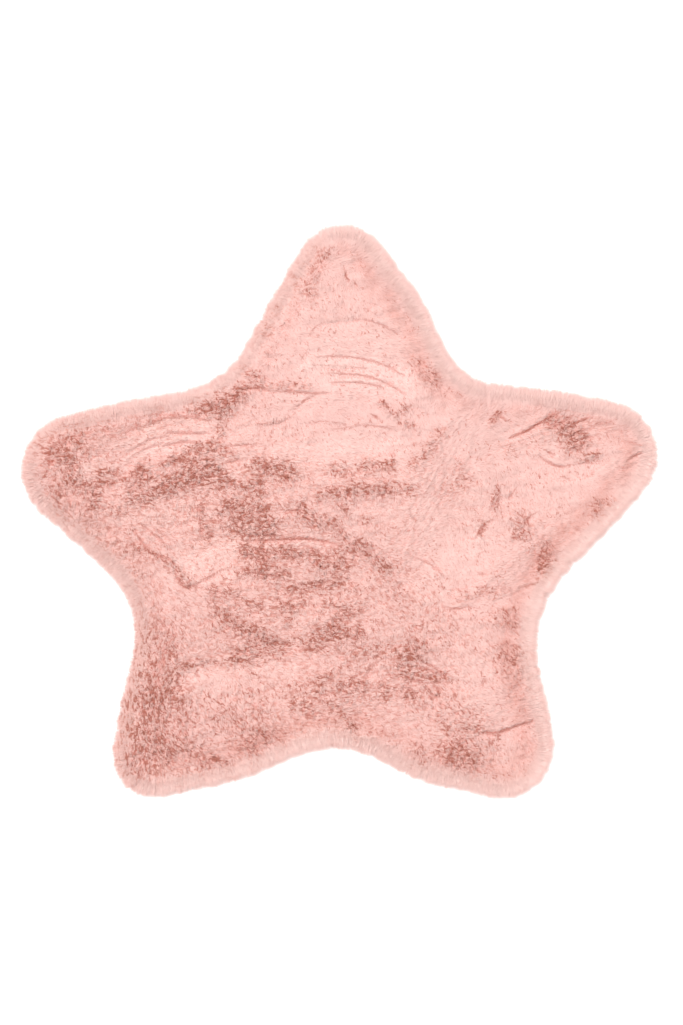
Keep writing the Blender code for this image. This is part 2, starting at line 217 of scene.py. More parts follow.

# Where hands have ruffled the pile, it stands up, and one looks down between the locks: its colour is
# darker there, partly the deeper pink of its roots and partly painted shade between the locks. Each row
# is a streak in the photo, in pixels, from its start to its end.
# (place, start x, start y, end x, end y, width, how deep)
RUFFLED = (
    ("left leg, outer side, broad", 160, 640, 165, 760, 60, 0.26),
    ("left leg, edge, broad", 142, 645, 134, 760, 28, 0.34),
    ("left side, broad", 175, 590, 200, 620, 50, 0.07),
    ("middle, broad", 240, 490, 370, 560, 80, 0.14),
    ("below the middle, broad", 230, 600, 350, 640, 70, 0.20),
    ("left arm, lower, broad", 70, 480, 210, 490, 56, 0.15),
    ("left arm, tip, shade", 50, 460, 80, 500, 50, 0.16),
    ("left of centre, shade", 130, 530, 220, 530, 46, 0.12),
    ("middle, upper, shade", 250, 470, 400, 480, 40, 0.06),
    ("bottom, shade", 310, 690, 400, 690, 46, 0.14),
    ("bottom, left, shade", 252, 685, 280, 758, 34, 0.26),
    ("middle, low, shade", 238, 628, 262, 634, 22, 0.22),
    ("right of centre, low, shade", 395, 598, 455, 632, 32, 0.20),
    ("right notch, low, shade", 545, 685, 548, 730, 18, 0.28),
    ("left arm, upper, shade", 60, 430, 160, 415, 34, 0.24),
    ("left arm, slope, shade", 60, 520, 130, 560, 46, 0.20),
    ("middle, low slope, shade", 350, 560, 440, 590, 40, 0.12),
    ("left leg, smooth, shade", 160, 710, 240, 730, 60, 0.34),
    ("left leg, tip, shade", 122, 705, 128, 770, 30, 0.32),
    ("left leg, bottom, shade", 188, 780, 226, 773, 22, 0.36),
    ("left arm, upper edge, shade", 40, 440, 100, 422, 22, 0.24),
    ("left arm, lower edge, shade", 60, 518, 100, 545, 20, 0.16),
    ("right notch, edge, shade", 526, 640, 536, 680, 20, 0.20),
    ("bottom, low, shade", 305, 725, 380, 725, 32, 0.18),
    ("right leg, left shade", 445, 705, 475, 730, 34, 0.28),
    ("middle, left, shade", 240, 512, 300, 516, 22, 0.14),
    ("middle, low, shade", 270, 595, 330, 560, 24, 0.12),
    ("right leg, shade", 450, 660, 520, 740, 90, 0.12),
    ("right side, shade", 480, 480, 570, 520, 76, 0.05),
    ("top arm, low, shade", 290, 310, 380, 310, 60, 0.05),
    ("left leg, upper, shade", 200, 650, 260, 640, 40, 0.07),
    ("top arm, left edge, shade", 250, 350, 305, 260, 30, 0.14),
    ("left arm, tip, broad", 50, 450, 74, 446, 30, 0.36),
    ("left arm, tip, middle", 46, 448, 58, 450, 12, 0.45),
    ("left arm, tip, right", 66, 458, 74, 478, 14, 0.62),
    ("left arm, tip, right edge", 79, 428, 75, 446, 7, 0.50),
    ("left arm, tip, top", 64, 424, 79, 427, 7, 0.45),
    ("left arm, tip, low", 62, 486, 82, 483, 11, 0.42),
    ("left arm, tip, low edge", 52, 490, 62, 505, 9, 0.45),
    ("left arm, tip, lowest", 60, 508, 67, 519, 10, 0.66),
    ("left arm, slope", 88, 500, 99, 474, 10, 0.78),
    ("left arm, slope, left", 80, 484, 96, 494, 12, 0.50),
    ("left arm, slope, line", 96, 470, 118, 471, 5, 0.60),
    ("left arm, slope, foot", 92, 505, 118, 508, 10, 0.45),
    ("left arm, dash", 103, 483, 125, 480, 4, 0.70),
    ("left arm, first tuft", 126, 494, 142, 480, 8, 0.75),
    ("left arm, second tuft", 127, 478, 144, 465, 7, 0.70),
    ("left arm, third tuft", 141, 468, 152, 476, 7, 0.60),
    ("left arm, low dash", 128, 502, 150, 500, 6, 0.66),
    ("left arm, band, foot", 138, 497, 162, 487, 9, 0.68),
    ("left arm, band", 160, 487, 200, 478, 13, 0.95),
    ("left arm, band, upper", 164, 478, 196, 464, 8, 0.72),
    ("left arm, band, edge", 158, 464, 198, 444, 5, 0.75),
    ("left arm, band, spot", 172, 460, 190, 458, 8, 0.80),
    ("left arm, band, right", 205, 464, 222, 476, 14, 0.78),
    ("left arm, band, high spot", 196, 452, 208, 447, 8, 0.66),
    ("left arm, foot", 206, 446, 224, 450, 11, 0.60),
    ("left arm, foot, nick", 214, 437, 223, 430, 5, 0.85),
    ("left arm, foot, line", 219, 418, 218, 440, 5, 0.62),
    ("left arm, foot, far", 222, 483, 258, 483, 8, 0.42),
    ("upper left notch, left", 188, 412, 206, 405, 9, 0.64),
    ("upper left notch", 202, 405, 224, 408, 13, 0.86),
    ("upper left notch, middle", 210, 400, 238, 392, 11, 0.78),
    ("upper left notch, right", 228, 397, 240, 388, 13, 0.86),
    ("upper left notch, high", 243, 368, 258, 378, 12, 0.52),
    ("above the middle, band", 258, 386, 305, 384, 10, 0.34),
    ("top arm, left edge, low", 258, 340, 278, 306, 9, 0.42),
    ("top arm, left edge, dot", 267, 325, 272, 331, 5, 0.66),
    ("top arm, left edge", 292, 280, 312, 291, 13, 0.42),
    ("top arm, left edge, high", 309, 269, 319, 259, 11, 0.36),
    ("top arm, left edge, top", 318, 250, 329, 253, 7, 0.50),
    ("top arm, right foot", 420, 364, 434, 379, 14, 0.52),
    ("middle, upper spot", 382, 402, 388, 408, 6, 0.72),
    ("middle, upper right", 396, 413, 404, 406, 6, 0.66),
    ("middle, right dot", 403, 423, 413, 425, 6, 0.70),
    ("right of the middle, upper", 427, 448, 441, 432, 11, 0.50),
    ("right of the middle, low", 410, 466, 424, 452, 8, 0.42),
    ("left of centre, dash", 200, 506, 200, 522, 5, 0.60),
    ("left of centre, spot", 205, 526, 209, 536, 9, 0.62),
    ("middle, left, upper", 258, 466, 288, 470, 17, 0.62),
    ("middle, left, upper edge", 256, 465, 282, 463, 5, 0.62),
    ("middle, left, upper foot", 281, 478, 291, 469, 6, 0.60),
    ("middle, left, dash", 246, 485, 259, 481, 5, 0.72),
    ("middle, left, low dash", 251, 497, 263, 491, 6, 0.66),
    ("middle, left, deep", 232, 508, 262, 513, 19, 0.82),
    ("middle, left, deep, top", 228, 500, 240, 502, 7, 0.72),
    ("middle, left, deep, low", 240, 526, 270, 527, 15, 0.68),
    ("middle, slope, start", 301, 502, 306, 516, 6, 0.76),
    ("middle, slope, top", 303, 512, 318, 520, 11, 0.50),
    ("middle, slope, upper", 318, 519, 335, 524, 11, 0.66),
    ("middle, slope", 336, 526, 348, 540, 8, 0.72),
    ("middle, slope, beside", 343, 549, 362, 545, 13, 0.58),
    ("middle, slope, lower", 361, 544, 388, 572, 11, 0.68),
    ("middle, above the slope", 331, 469, 350, 478, 11, 0.46),
    ("middle, right", 362, 466, 390, 465, 12, 0.58),
    ("middle, streak, left", 320, 495, 331, 490, 8, 0.70),
    ("middle, streak", 334, 491, 347, 493, 8, 0.66),
    ("middle, streak, right", 350, 489, 380, 487, 10, 0.70),
    ("middle, streak, far right", 383, 488, 410, 488, 11, 0.56),
    ("middle, curl", 342, 505, 348, 513, 6, 0.76),
    ("middle, low curl", 360, 519, 371, 520, 6, 0.56),
    ("below the middle, first", 242, 547, 268, 559, 7, 0.80),
    ("below the middle, second", 261, 548, 278, 552, 9, 0.80),
    ("below the middle, third", 282, 549, 301, 554, 11, 0.76),
    ("below the middle, fourth", 304, 553, 322, 557, 7, 0.62),
    ("below the middle, fifth", 242, 554, 264, 559, 7, 0.70),
    ("below the middle, sixth", 249, 565, 286, 571, 9, 0.76),
    ("below the middle, left", 240, 573, 249, 571, 5, 0.82),
    ("below the middle, seventh", 250, 572, 280, 578, 5, 0.74),
    ("below the middle, right", 317, 562, 346, 564, 9, 0.66),
    ("below the middle, low right", 327, 575, 341, 577, 6, 0.52),
    ("below the middle, long", 291, 588, 334, 584, 9, 0.74),
    ("below the middle, end", 334, 583, 354, 588, 6, 0.45),
    ("left side, arc, top", 138, 549, 152, 553, 7, 0.56),
    ("left side, arc", 152, 555, 169, 560, 5, 0.56),
    ("left side, arc, foot", 170, 562, 187, 582, 8, 0.70),
    ("bowl, far left", 214, 590, 236, 592, 9, 0.60),
    ("bowl, start", 212, 606, 222, 606, 7, 0.56),
    ("bowl, left", 219, 610, 231, 620, 8, 0.56),
    ("bowl", 226, 620, 264, 637, 11, 0.86),
    ("bowl, right", 262, 637, 278, 638, 6, 0.66),
    ("bowl, strokes", 240, 652, 276, 648, 16, 0.56),
    ("bowl, strokes, foot", 232, 659, 250, 661, 5, 0.70),
    ("bowl, inside", 240, 601, 259, 606, 6, 0.62),
    ("bowl, inside, right", 281, 605, 300, 607, 7, 0.62),
    ("bowl, inside, low", 278, 611, 293, 620, 9, 0.36),
    ("bowl, end", 281, 645, 302, 638, 6, 0.50),
    ("bowl, tuft, top", 328, 602, 352, 612, 7, 0.64),
    ("bowl, tuft, top right", 347, 611, 360, 606, 7, 0.60),
    ("bowl, tuft, ridge", 324, 629, 341, 620, 9, 0.64),
    ("bowl, tuft", 316, 638, 334, 631, 13, 0.76),
    ("bowl, tuft, right", 343, 634, 357, 631, 12, 0.70),
    ("bowl, tuft, foot", 305, 645, 319, 648, 8, 0.66),
    ("middle of the bottom, dust", 356, 652, 396, 650, 16, 0.30),
    ("left side, edge, high", 143, 600, 147, 640, 14, 0.28),
    ("left leg, edge", 143, 635, 143, 692, 15, 0.56),
    ("left leg, high spot", 165, 628, 169, 650, 15, 0.24),
    ("left leg, high line", 172, 642, 176, 664, 7, 0.42),
    ("left leg, shoulder", 164, 681, 176, 669, 10, 0.78),
    ("left leg, line", 177, 668, 200, 661, 7, 0.60),
    ("left leg, line, right", 200, 662, 232, 660, 6, 0.40),
    ("left leg, below the shoulder", 148, 699, 166, 684, 18, 0.52),
    ("left leg, across", 128, 701, 170, 696, 15, 0.56),
    ("left leg, tip edge", 129, 705, 133, 738, 11, 0.58),
    ("left leg, middle", 154, 706, 165, 742, 20, 0.54),
    ("left leg, deep", 153, 733, 166, 751, 15, 0.74),
    ("left leg, low", 150, 743, 186, 750, 12, 0.60),
    ("left leg, right of the middle", 183, 724, 189, 742, 8, 0.50),
    ("left leg, tip, top", 124, 753, 156, 753, 11, 0.72),
    ("left leg, tip", 129, 760, 138, 781, 14, 0.72),
    ("left leg, bottom", 165, 786, 184, 784, 8, 0.36),
    ("left leg, foot line", 200, 745, 200, 776, 6, 0.46),
    ("left leg, foot, dot", 211, 757, 217, 759, 7, 0.90),
    ("left leg, foot", 207, 764, 211, 776, 5, 0.76),
    ("left leg, foot, right dot", 221, 760, 226, 762, 4, 0.72),
    ("left leg, foot, bottom", 200, 778, 214, 776, 5, 0.56),
    ("left leg, inner, low", 250, 744, 256, 763, 11, 0.62),
    ("left leg, inner", 243, 725, 264, 735, 10, 0.34),
    ("left leg, inner, dot", 261, 730, 269, 741, 7, 0.50),
    ("left leg, inner, high", 224, 711, 236, 721, 16, 0.30),
    ("bottom, left", 298, 702, 312, 710, 11, 0.66),
    ("bottom, left dot", 292, 704, 293, 713, 4, 0.76),
    ("bottom, left, dust", 276, 690, 345, 694, 26, 0.16),
    ("bottom, high", 317, 681, 328, 676, 8, 0.62),
    ("bottom, high line", 318, 684, 317, 696, 5, 0.70),
    ("bottom, arch, top", 344, 686, 360, 684, 13, 0.68),
    ("bottom, arch", 322, 702, 342, 713, 7, 0.46),
    ("bottom, arch, right", 349, 721, 358, 739, 9, 0.72),
    ("bottom, arch, dot", 363, 736, 367, 733, 5, 0.62),
    ("bottom, right dot", 384, 687, 386, 697, 9, 0.62),
    ("right tuft", 404, 656, 421, 645, 15, 0.70),
    ("right tuft, top", 414, 641, 418, 656, 12, 0.66),
    ("finger mark, first", 402, 674, 422, 674, 9, 0.66),
    ("finger mark, first end", 424, 673, 440, 678, 8, 0.62),
    ("finger mark, dot", 441, 674, 445, 676, 6, 0.76),
    ("finger mark, second", 422, 686, 440, 695, 6, 0.60),
    ("finger mark, third", 399, 690, 416, 696, 10, 0.62),
    ("right leg, above the spot", 462, 728, 476, 728, 7, 0.66),
    ("right leg, slope to the spot", 440, 722, 455, 737, 9, 0.42),
    ("right leg, round spot", 457, 750, 468, 755, 24, 0.84),
    ("right leg, round spot, edge", 447, 752, 483, 753, 32, 0.16),
    ("right leg, foot", 417, 750, 424, 761, 12, 0.52),
    ("right leg, foot, low", 412, 767, 423, 768, 9, 0.72),
    ("right notch", 506, 652, 531, 676, 24, 0.50),
    ("right notch, deep", 524, 650, 530, 657, 11, 0.68),
    ("right side, strokes", 496, 616, 513, 616, 16, 0.38),
    ("right side, stroke", 505, 617, 506, 628, 4, 0.66),
    ("right side, stroke, right", 514, 622, 517, 628, 5, 0.62),
    ("right side, low dust", 462, 595, 502, 590, 11, 0.34),
    ("right side, pale brown", 446, 491, 462, 484, 16, 0.22),
    ("right side, pale brown, high", 459, 470, 469, 480, 12, 0.26),
    ("right side, upper dot", 495, 508, 497, 488, 6, 0.64),
    ("right side, hook", 480, 534, 482, 525, 6, 0.66),
    ("right side, spot", 520, 513, 526, 531, 13, 0.40),
    ("right side, spot, foot", 514, 536, 520, 534, 6, 0.60),
    ("right side, low spot", 545, 549, 548, 573, 14, 0.80),
    ("right side, low spot, foot", 539, 567, 562, 562, 8, 0.70),
    ("right arm, small mark", 490, 422, 498, 414, 6, 0.70),
    ("right arm, under the crease", 505, 445, 513, 451, 9, 0.34),
    ("right arm, ruffle, broad", 548, 430, 598, 421, 26, 0.16),
    ("right arm, ruffle, first", 545, 421, 558, 413, 6, 0.70),
    ("right arm, ruffle, second", 551, 426, 567, 420, 6, 0.72),
    ("right arm, ruffle, third", 561, 431, 573, 425, 6, 0.76),
    ("right arm, ruffle, fourth", 562, 438, 580, 432, 8, 0.78),
    ("right arm, ruffle, deep", 570, 443, 586, 440, 7, 0.90),
    ("right arm, ruffle, low", 566, 451, 584, 445, 6, 0.78),
    ("right arm, ruffle, foot", 584, 455, 597, 454, 6, 0.72),
    ("right arm, lower edge", 598, 505, 620, 505, 12, 0.66),
    ("right arm, lower edge, foot", 600, 514, 606, 526, 11, 0.56),
)

# Where the pile lies flat, its locks lie lower and it is painted paler, a painted sheen of the laid pile,
# as streaks again.
# (place, start x, start y, end x, end y, width, how pale)
FLAT = (
    ("top arm, middle", 305, 305, 345, 318, 40, 0.25),
    ("top arm, under the arc", 318, 345, 400, 340, 34, 0.35),
    ("top arm, strokes", 318, 366, 402, 378, 28, 1.0),
    ("above the middle, palest", 325, 361, 350, 361, 14, 0.90),
    ("above the middle, left", 280, 396, 300, 396, 9, 0.50),
    ("middle, smooth", 340, 445, 392, 445, 26, 0.70),
    ("middle, smooth, left", 288, 450, 330, 455, 40, 0.35),
    ("left arm, strokes", 150, 432, 203, 424, 22, 0.70),
    ("left arm, strokes, low", 132, 456, 190, 441, 12, 0.75),
    ("left arm, strokes, top", 130, 436, 160, 424, 12, 0.40),
    ("left arm, tip, gap", 80, 474, 96, 462, 12, 0.70),
    ("left arm, foot, gap", 222, 462, 254, 464, 9, 0.60),
    ("left of centre, under the band", 150, 512, 190, 512, 22, 0.40),
    ("left of centre, palest", 182, 566, 232, 546, 30, 0.85),
    ("left of centre, line", 205, 541, 330, 541, 6, 0.90),
    ("left of centre, low", 205, 580, 228, 575, 10, 0.60),
    ("bowl, inside", 296, 618, 312, 614, 16, 0.40),
    ("left leg, smooth", 185, 678, 285, 672, 26, 0.42),
    ("left leg, smooth, low", 200, 695, 262, 700, 26, 0.26),
    ("left leg, edge, gap", 138, 722, 144, 744, 13, 0.50),
    ("left leg, tip, gap", 155, 771, 186, 766, 17, 0.55),
    ("bottom, smooth", 305, 725, 342, 722, 22, 0.42),
    ("right of the middle, smooth", 430, 590, 476, 545, 42, 0.40),
    ("right of the middle, high", 470, 545, 470, 440, 38, 0.22),
    ("right of the middle, left", 422, 485, 428, 555, 30, 0.30),
    ("right arm, under the crease", 520, 452, 560, 500, 50, 0.22),
    ("right arm, in the ruffle", 550, 440, 556, 452, 12, 0.50),
    ("right arm, tip", 590, 474, 622, 476, 38, 0.22),
    ("right leg, smooth", 470, 650, 480, 700, 44, 0.30),
    ("right leg, tip", 512, 762, 526, 758, 18, 0.40),
)

# Where the pile is curly all over, though it isn't ruffled up to its foot. There its curls have more
# painted shade in their hollows and painted highlights on their crests.
# (place, start x, start y, end x, end y, width, how curly)
CURLY = (
    ("left arm", 60, 480, 220, 460, 90, 0.60),
    ("upper left notch", 200, 400, 260, 425, 60, 0.50),
    ("left of centre", 120, 560, 230, 520, 110, 0.70),
    ("middle", 240, 480, 400, 500, 110, 0.85),
    ("below the middle", 240, 560, 380, 600, 110, 0.85),
    ("bowl", 220, 640, 360, 620, 80, 0.75),
    ("left leg", 140, 640, 160, 770, 60, 0.50),
    ("bottom", 280, 700, 430, 680, 80, 0.55),
    ("right tuft", 400, 660, 450, 690, 50, 0.60),
    ("right leg, foot", 410, 760, 480, 750, 60, 0.50),
    ("right side", 490, 530, 560, 540, 80, 0.55),
    ("right arm, ruffle", 540, 430, 620, 440, 60, 0.45),
)
PATCH_WANDER = 0.0026  # how far a streak's edge strays from its round outline
PATCH_WANDER_SIZE = 0.011
STREAK_ABOVE = 0.52  # how far a streak reaches to its upper and lower side, as a share of its width
STREAK_BELOW = 0.72
STREAK_MARGIN = 1.8  # further out than this many widths it has no effect
PATCHINESS = 0.22
PATCH_SIZE = 0.0085
STREAK_LINES = 0.55  # how far a streak's own lines stand out in it
STREAK_LINE_PITCH = 0.0056
STREAK_LINE_BEND = 1.6
STREAK_LINE_BEND_SIZE = 0.020

# The finest curls are drawn out the way that the pile is brushed: level where nothing has moved it,
# and otherwise along the strokes and the streaks.
LEVEL_COMBING = 0.45
COMBING_SWAY = 0.35
COMBING_SWAY_SIZE = 0.10
STREAK_COMBING = 0.8  # how strongly a streak draws them out along itself, for each of its widths
STREAK_COMBING_MOST = 3
STREAK_COMBING_MARGIN = 2.0
# (direction that the curls are drawn out in, its angle)
COMBINGS = (
    ("level", 0.0),
    ("rising", math.radians(45)),
    ("upright", math.radians(90)),
    ("falling", math.radians(135)),
)

# A crease is a real parting in the bed, darkened with painted shade along its foot.
# Thin creases, where the pile is parted down to its foot, in the photo's pixels.
# (place, how deep, x, y, x, y, ...)
CREASES = (
    ("top arm, arc, left", 0.5, 309, 336, 314, 327, 325, 321),
    ("top arm, arc", 0.45, 325, 321, 345, 318, 362, 318, 380, 323, 396, 333),
    ("top arm, short", 0.6, 299, 361, 304, 356, 307, 349),
    ("top arm, second arc", 0.45, 314, 357, 335, 355, 358, 357, 385, 364, 402, 374),
    ("top arm, third arc", 0.4, 311, 365, 340, 365, 366, 368),
    ("top arm, fourth arc", 0.5, 320, 373, 355, 373, 378, 378, 402, 392),
    ("top arm, fifth arc", 0.4, 329, 382, 356, 381, 380, 386),
    ("top arm, dash", 0.9, 366, 250, 373, 251, 380, 249),
    ("top arm, hook", 0.9, 344, 265, 345, 276, 350, 280),
    ("top arm, hook, foot", 0.8, 353, 279, 356, 284),
    ("top arm, tick", 0.4, 366, 276, 370, 268),
    ("top arm, left edge", 0.4, 262, 336, 270, 322, 277, 308),
    ("upper left notch, upper", 0.9, 240, 388, 258, 387, 268, 390),
    ("above the middle", 0.6, 268, 390, 290, 391, 312, 393, 326, 392),
    ("above the middle, slant", 0.7, 289, 411, 296, 406, 304, 400, 312, 396),
    ("above the middle, low", 0.9, 256, 424, 275, 423, 286, 418, 294, 414),
    ("above the middle, left", 0.4, 232, 428, 245, 424, 256, 418),
    ("above the middle, right", 0.5, 305, 422, 325, 421, 345, 424),
    ("above the middle, far right", 0.4, 330, 430, 352, 426, 366, 424, 395, 429),
    ("middle, tick", 0.7, 371, 413, 378, 418),
    ("middle, upper dash", 0.6, 404, 411, 414, 403),
    ("left arm, top dash", 0.6, 136, 418, 150, 415, 162, 411),
    ("left arm, top stroke", 0.6, 144, 427, 154, 422, 164, 418, 176, 417, 190, 417, 208, 420),
    ("left arm, second stroke", 0.5, 162, 434, 172, 432, 188, 433, 206, 433),
    ("left arm, third stroke", 0.5, 160, 446, 172, 443, 186, 441, 200, 443),
    ("left arm, faint stroke", 0.35, 124, 454, 136, 446, 150, 438, 165, 436),
    ("left arm, low faint stroke", 0.35, 126, 460, 140, 450, 158, 443),
    ("left arm, far stroke", 0.5, 124, 434, 130, 429, 137, 426),
    ("left arm, lower edge", 0.6, 124, 491, 132, 484, 140, 477, 144, 467),
    ("left arm, foot, upper", 0.6, 222, 446, 240, 444, 262, 444),
    ("left arm, foot, lower", 0.5, 221, 463, 232, 460, 244, 459),
    ("left of centre, hook", 0.6, 186, 509, 194, 506, 208, 509),
    ("left of centre, foot", 0.7, 190, 540, 200, 539, 214, 535),
    ("left of centre, outer cup", 0.6, 140, 522, 152, 532, 166, 545),
    ("left of centre, inner cup", 0.4, 150, 524, 160, 532, 172, 540),
    ("left of centre, sweep", 0.8, 131, 526, 140, 541, 152, 553, 172, 560),
    ("left of centre, upright", 0.6, 198, 514, 199, 524, 200, 536),
    ("left of centre, corner", 0.9, 172, 566, 177, 579, 184, 587, 192, 585, 206, 578, 220, 570),
    ("left of centre, tick", 0.5, 150, 580, 155, 570),
    ("middle, dash", 0.9, 278, 508, 290, 511, 300, 507, 306, 500),
    ("middle, curve", 0.7, 228, 502, 232, 516, 240, 528),
    ("middle, upper line", 1.0, 238, 534, 252, 536, 278, 536),
    ("middle, long stroke", 1.0, 240, 540, 270, 540, 300, 538, 320, 540, 338, 544),
    ("middle, long stroke, low", 0.6, 300, 544, 312, 548, 322, 556),
    ("below the middle, top", 0.8, 242, 546, 256, 549, 272, 553),
    ("below the middle, left", 0.8, 243, 553, 256, 558, 268, 560),
    ("below the middle, low", 0.8, 240, 574, 250, 571, 264, 574, 280, 578),
    ("below the middle, long", 0.9, 292, 587, 302, 583, 318, 582, 332, 581),
    ("bowl, upper line", 0.7, 280, 598, 284, 606, 298, 604, 316, 604),
    ("bowl, tuft, right edge", 0.8, 360, 620, 356, 630, 357, 638),
    ("bowl, tuft, top", 0.5, 336, 622, 344, 619),
    ("middle of the bottom, curl", 0.6, 366, 676, 370, 666, 380, 661),
    ("middle of the bottom, second curl", 0.5, 383, 662, 388, 672, 395, 678),
    ("right tuft, line", 1.0, 417, 658, 428, 664, 439, 671, 441, 677),
    ("finger mark, top", 0.7, 399, 667, 412, 665, 426, 668, 438, 673),
    ("finger mark, middle", 0.6, 404, 681, 416, 680, 424, 684),
    ("finger mark, ring", 0.8, 422, 684, 430, 692, 436, 698, 440, 693, 436, 686, 430, 683),
    ("finger mark, low", 0.6, 398, 688, 408, 688, 417, 694),
    ("right leg, thin crease", 1.0, 478, 732, 490, 734, 504, 731, 522, 724, 543, 718),
    ("right leg, faint crease", 0.4, 504, 697, 512, 688, 525, 680),
    ("right leg, tick", 0.5, 519, 757, 526, 757),
    ("right side, smile", 0.6, 442, 606, 456, 609, 470, 606),
    ("right side, low slant", 0.8, 520, 588, 530, 585, 541, 581),
    ("right side, tick", 0.6, 477, 573, 483, 574),
    ("right side, slant", 0.5, 550, 556, 566, 549, 580, 540),
    ("right side, slant, end", 0.7, 580, 540, 584, 535, 591, 533),
    ("right side, short slant", 0.5, 572, 525, 580, 530),
    ("right side, faint slant", 0.4, 556, 520, 566, 513, 576, 508),
    ("right side, hook", 0.8, 480, 534, 482, 526, 492, 519),
    ("right side, streak", 0.6, 497, 508, 500, 488),
    ("right side, curl", 0.8, 522, 528, 527, 518, 536, 513),
    ("right side, dash", 0.6, 508, 498, 515, 490),
    ("right of the middle, tick", 0.8, 455, 459, 460, 463),
    ("right of the middle, low", 0.4, 408, 556, 428, 562, 447, 578),
    ("right arm, mark", 0.6, 497, 414, 505, 419),
    ("right arm, crease", 1.0, 508, 438, 524, 432, 536, 425, 550, 417, 562, 411),
    ("right arm, high ruffle", 0.6, 564, 413, 570, 408, 578, 406),
    ("right arm, first ruffle", 0.9, 550, 426, 558, 424, 568, 419),
    ("right arm, second ruffle", 0.9, 562, 431, 568, 426, 580, 421, 592, 417),
    ("right arm, third ruffle", 0.8, 564, 438, 574, 434, 586, 429),
    ("right arm, deep ruffle", 1.0, 570, 442, 578, 440, 590, 436),
    ("right arm, low ruffle", 0.8, 568, 450, 576, 448, 586, 442),
    ("right arm, far ruffle", 0.5, 590, 427, 600, 424, 614, 422),
    ("right arm, lower arc", 0.7, 540, 456, 548, 462, 560, 467, 574, 464),
    ("right arm, lower arc, end", 0.8, 573, 463, 586, 461, 600, 461),
    ("right arm, dash", 0.8, 545, 450, 551, 453),
    ("right arm, tip line", 0.6, 624, 441, 634, 444, 646, 446),
    ("right arm, tip, low line", 0.8, 626, 461, 634, 456, 642, 452),
    ("right arm, tip, tick", 0.5, 624, 469, 630, 465),
)
CREASE_STEP = 0.0008
CREASE_ENDS = (0.07, 0.93)  # where it starts and stops on a half wave, so that its ends are shallow
CREASE_WIDTH = 0.0009  # of the painted shade line at the bottom of the parting
PARTED_WIDTH = 1.6 * CREASE_WIDTH  # of the same painted shade line on the bed
CREASE_PULL = 0.0050  # how far to each side the locks lean away from it
CREASE_LEAN = 1.3  # and how strongly

# Dark locks that lie along the creases: painted shade at the foot of each parting.
CREASE_LOCK_PITCH = 0.0010
CREASE_UNEVEN = 0.0004  # how far they lie beside the line
CREASE_TURN_SPREAD = 0.16
CREASE_LOCK_LENGTH = 0.0055
CREASE_LENGTHS = (0.7, 1.2)
CREASE_LOCK_WIDTH = 0.0011
CREASE_THINNEST = 0.45  # how wide a lock is in the faintest crease, as a share of the widest
CREASE_LOCK_LEVEL = 0.0009  # above the bed
CREASE_DEPTH_CURVE = 1.2  # how much faster the painted shade grows than the depth
CREASE_SHADES = (0.5, 1.15)
SHADED_RISE = math.radians(12)  # how steeply shaded locks lie, how wide they are and how they roll
SHADED_WIDTHS = (0.6, 1.3)
SHADED_ROLL = 0.2

# Small curls of the pile, with dark locks of painted shade at their edges.
CURL_SIZE = 0.0100
CURL_PITCH = 0.0017
CURL_SCATTER = 0.45
CURL_SLOPE_STEP = 0.0001
CURL_BREADTH = 0.30
CURL_BREAK_SIZE = 0.9 * CURL_SIZE  # of the gaps in their edges
CURL_BREAKS = -0.1  # the higher this is, between -1 and 1, the more gaps there are
CURL_SHARE = 0.05  # of the places where a curl may be, where the pile is smooth
CURL_GATHERING = 2.5  # how far they gather in places
CURL_GATHERING_SIZE = 0.05
CURL_IN_RUFFLES = 0.95
CURL_TURN_SPREAD = 0.25
CURL_LENGTH = 0.0044
CURL_LENGTHS = (0.6, 1.3)
CURL_BOW = 0.12 * CURL_LENGTH  # how far their middles are bowed aside
CURL_LEVEL = 0.0015
CURL_WIDTH = 0.0014
CURL_SHADE = 0.40  # painted shade in smooth pile, then how much darker among many and how dark at most
CURL_SHADE_AMONG = 1.1
CURL_SHADE_MOST = 1.15
CURL_SHADES = (0.6, 1.1)

# Long strokes of a hand, which turn the pile along their way.
STROKE_END = 0.3  # how far one reaches past its ends, as a share of its width
# (place, start x, start y, end x, end y, width in metres)
STROKES = (
    ("top arm, arc", 305, 340, 425, 350, 0.050),
    ("top arm, left edge", 250, 340, 330, 235, 0.030),
    ("top arm, tip", 330, 260, 375, 245, 0.040),
    ("above the middle", 270, 400, 410, 385, 0.035),
    ("left arm, upper", 110, 455, 215, 418, 0.050),
    ("left arm, lower", 110, 500, 220, 460, 0.040),
    ("left arm, tip", 40, 450, 100, 500, 0.040),
    ("left of centre", 110, 510, 190, 560, 0.045),
    ("middle, left", 200, 545, 340, 543, 0.045),
    ("middle, upper", 240, 455, 400, 470, 0.035),
    ("middle, slope", 290, 495, 400, 575, 0.040),
    ("bowl", 205, 595, 300, 650, 0.040),
    ("bowl, right", 300, 650, 360, 600, 0.035),
    ("left leg, upper", 160, 665, 280, 655, 0.040),
    ("left leg, edge", 150, 640, 125, 760, 0.035),
    ("left leg, lower", 160, 770, 280, 740, 0.045),
    ("bottom", 300, 720, 380, 700, 0.040),
    ("right tuft", 395, 680, 450, 670, 0.030),
    ("right leg", 430, 730, 550, 700, 0.060),
    ("right of the middle", 400, 560, 470, 420, 0.070),
    ("right side", 480, 600, 560, 530, 0.050),
    ("right arm", 500, 445, 610, 405, 0.045),
    ("right arm, tip", 600, 480, 655, 440, 0.040),
)
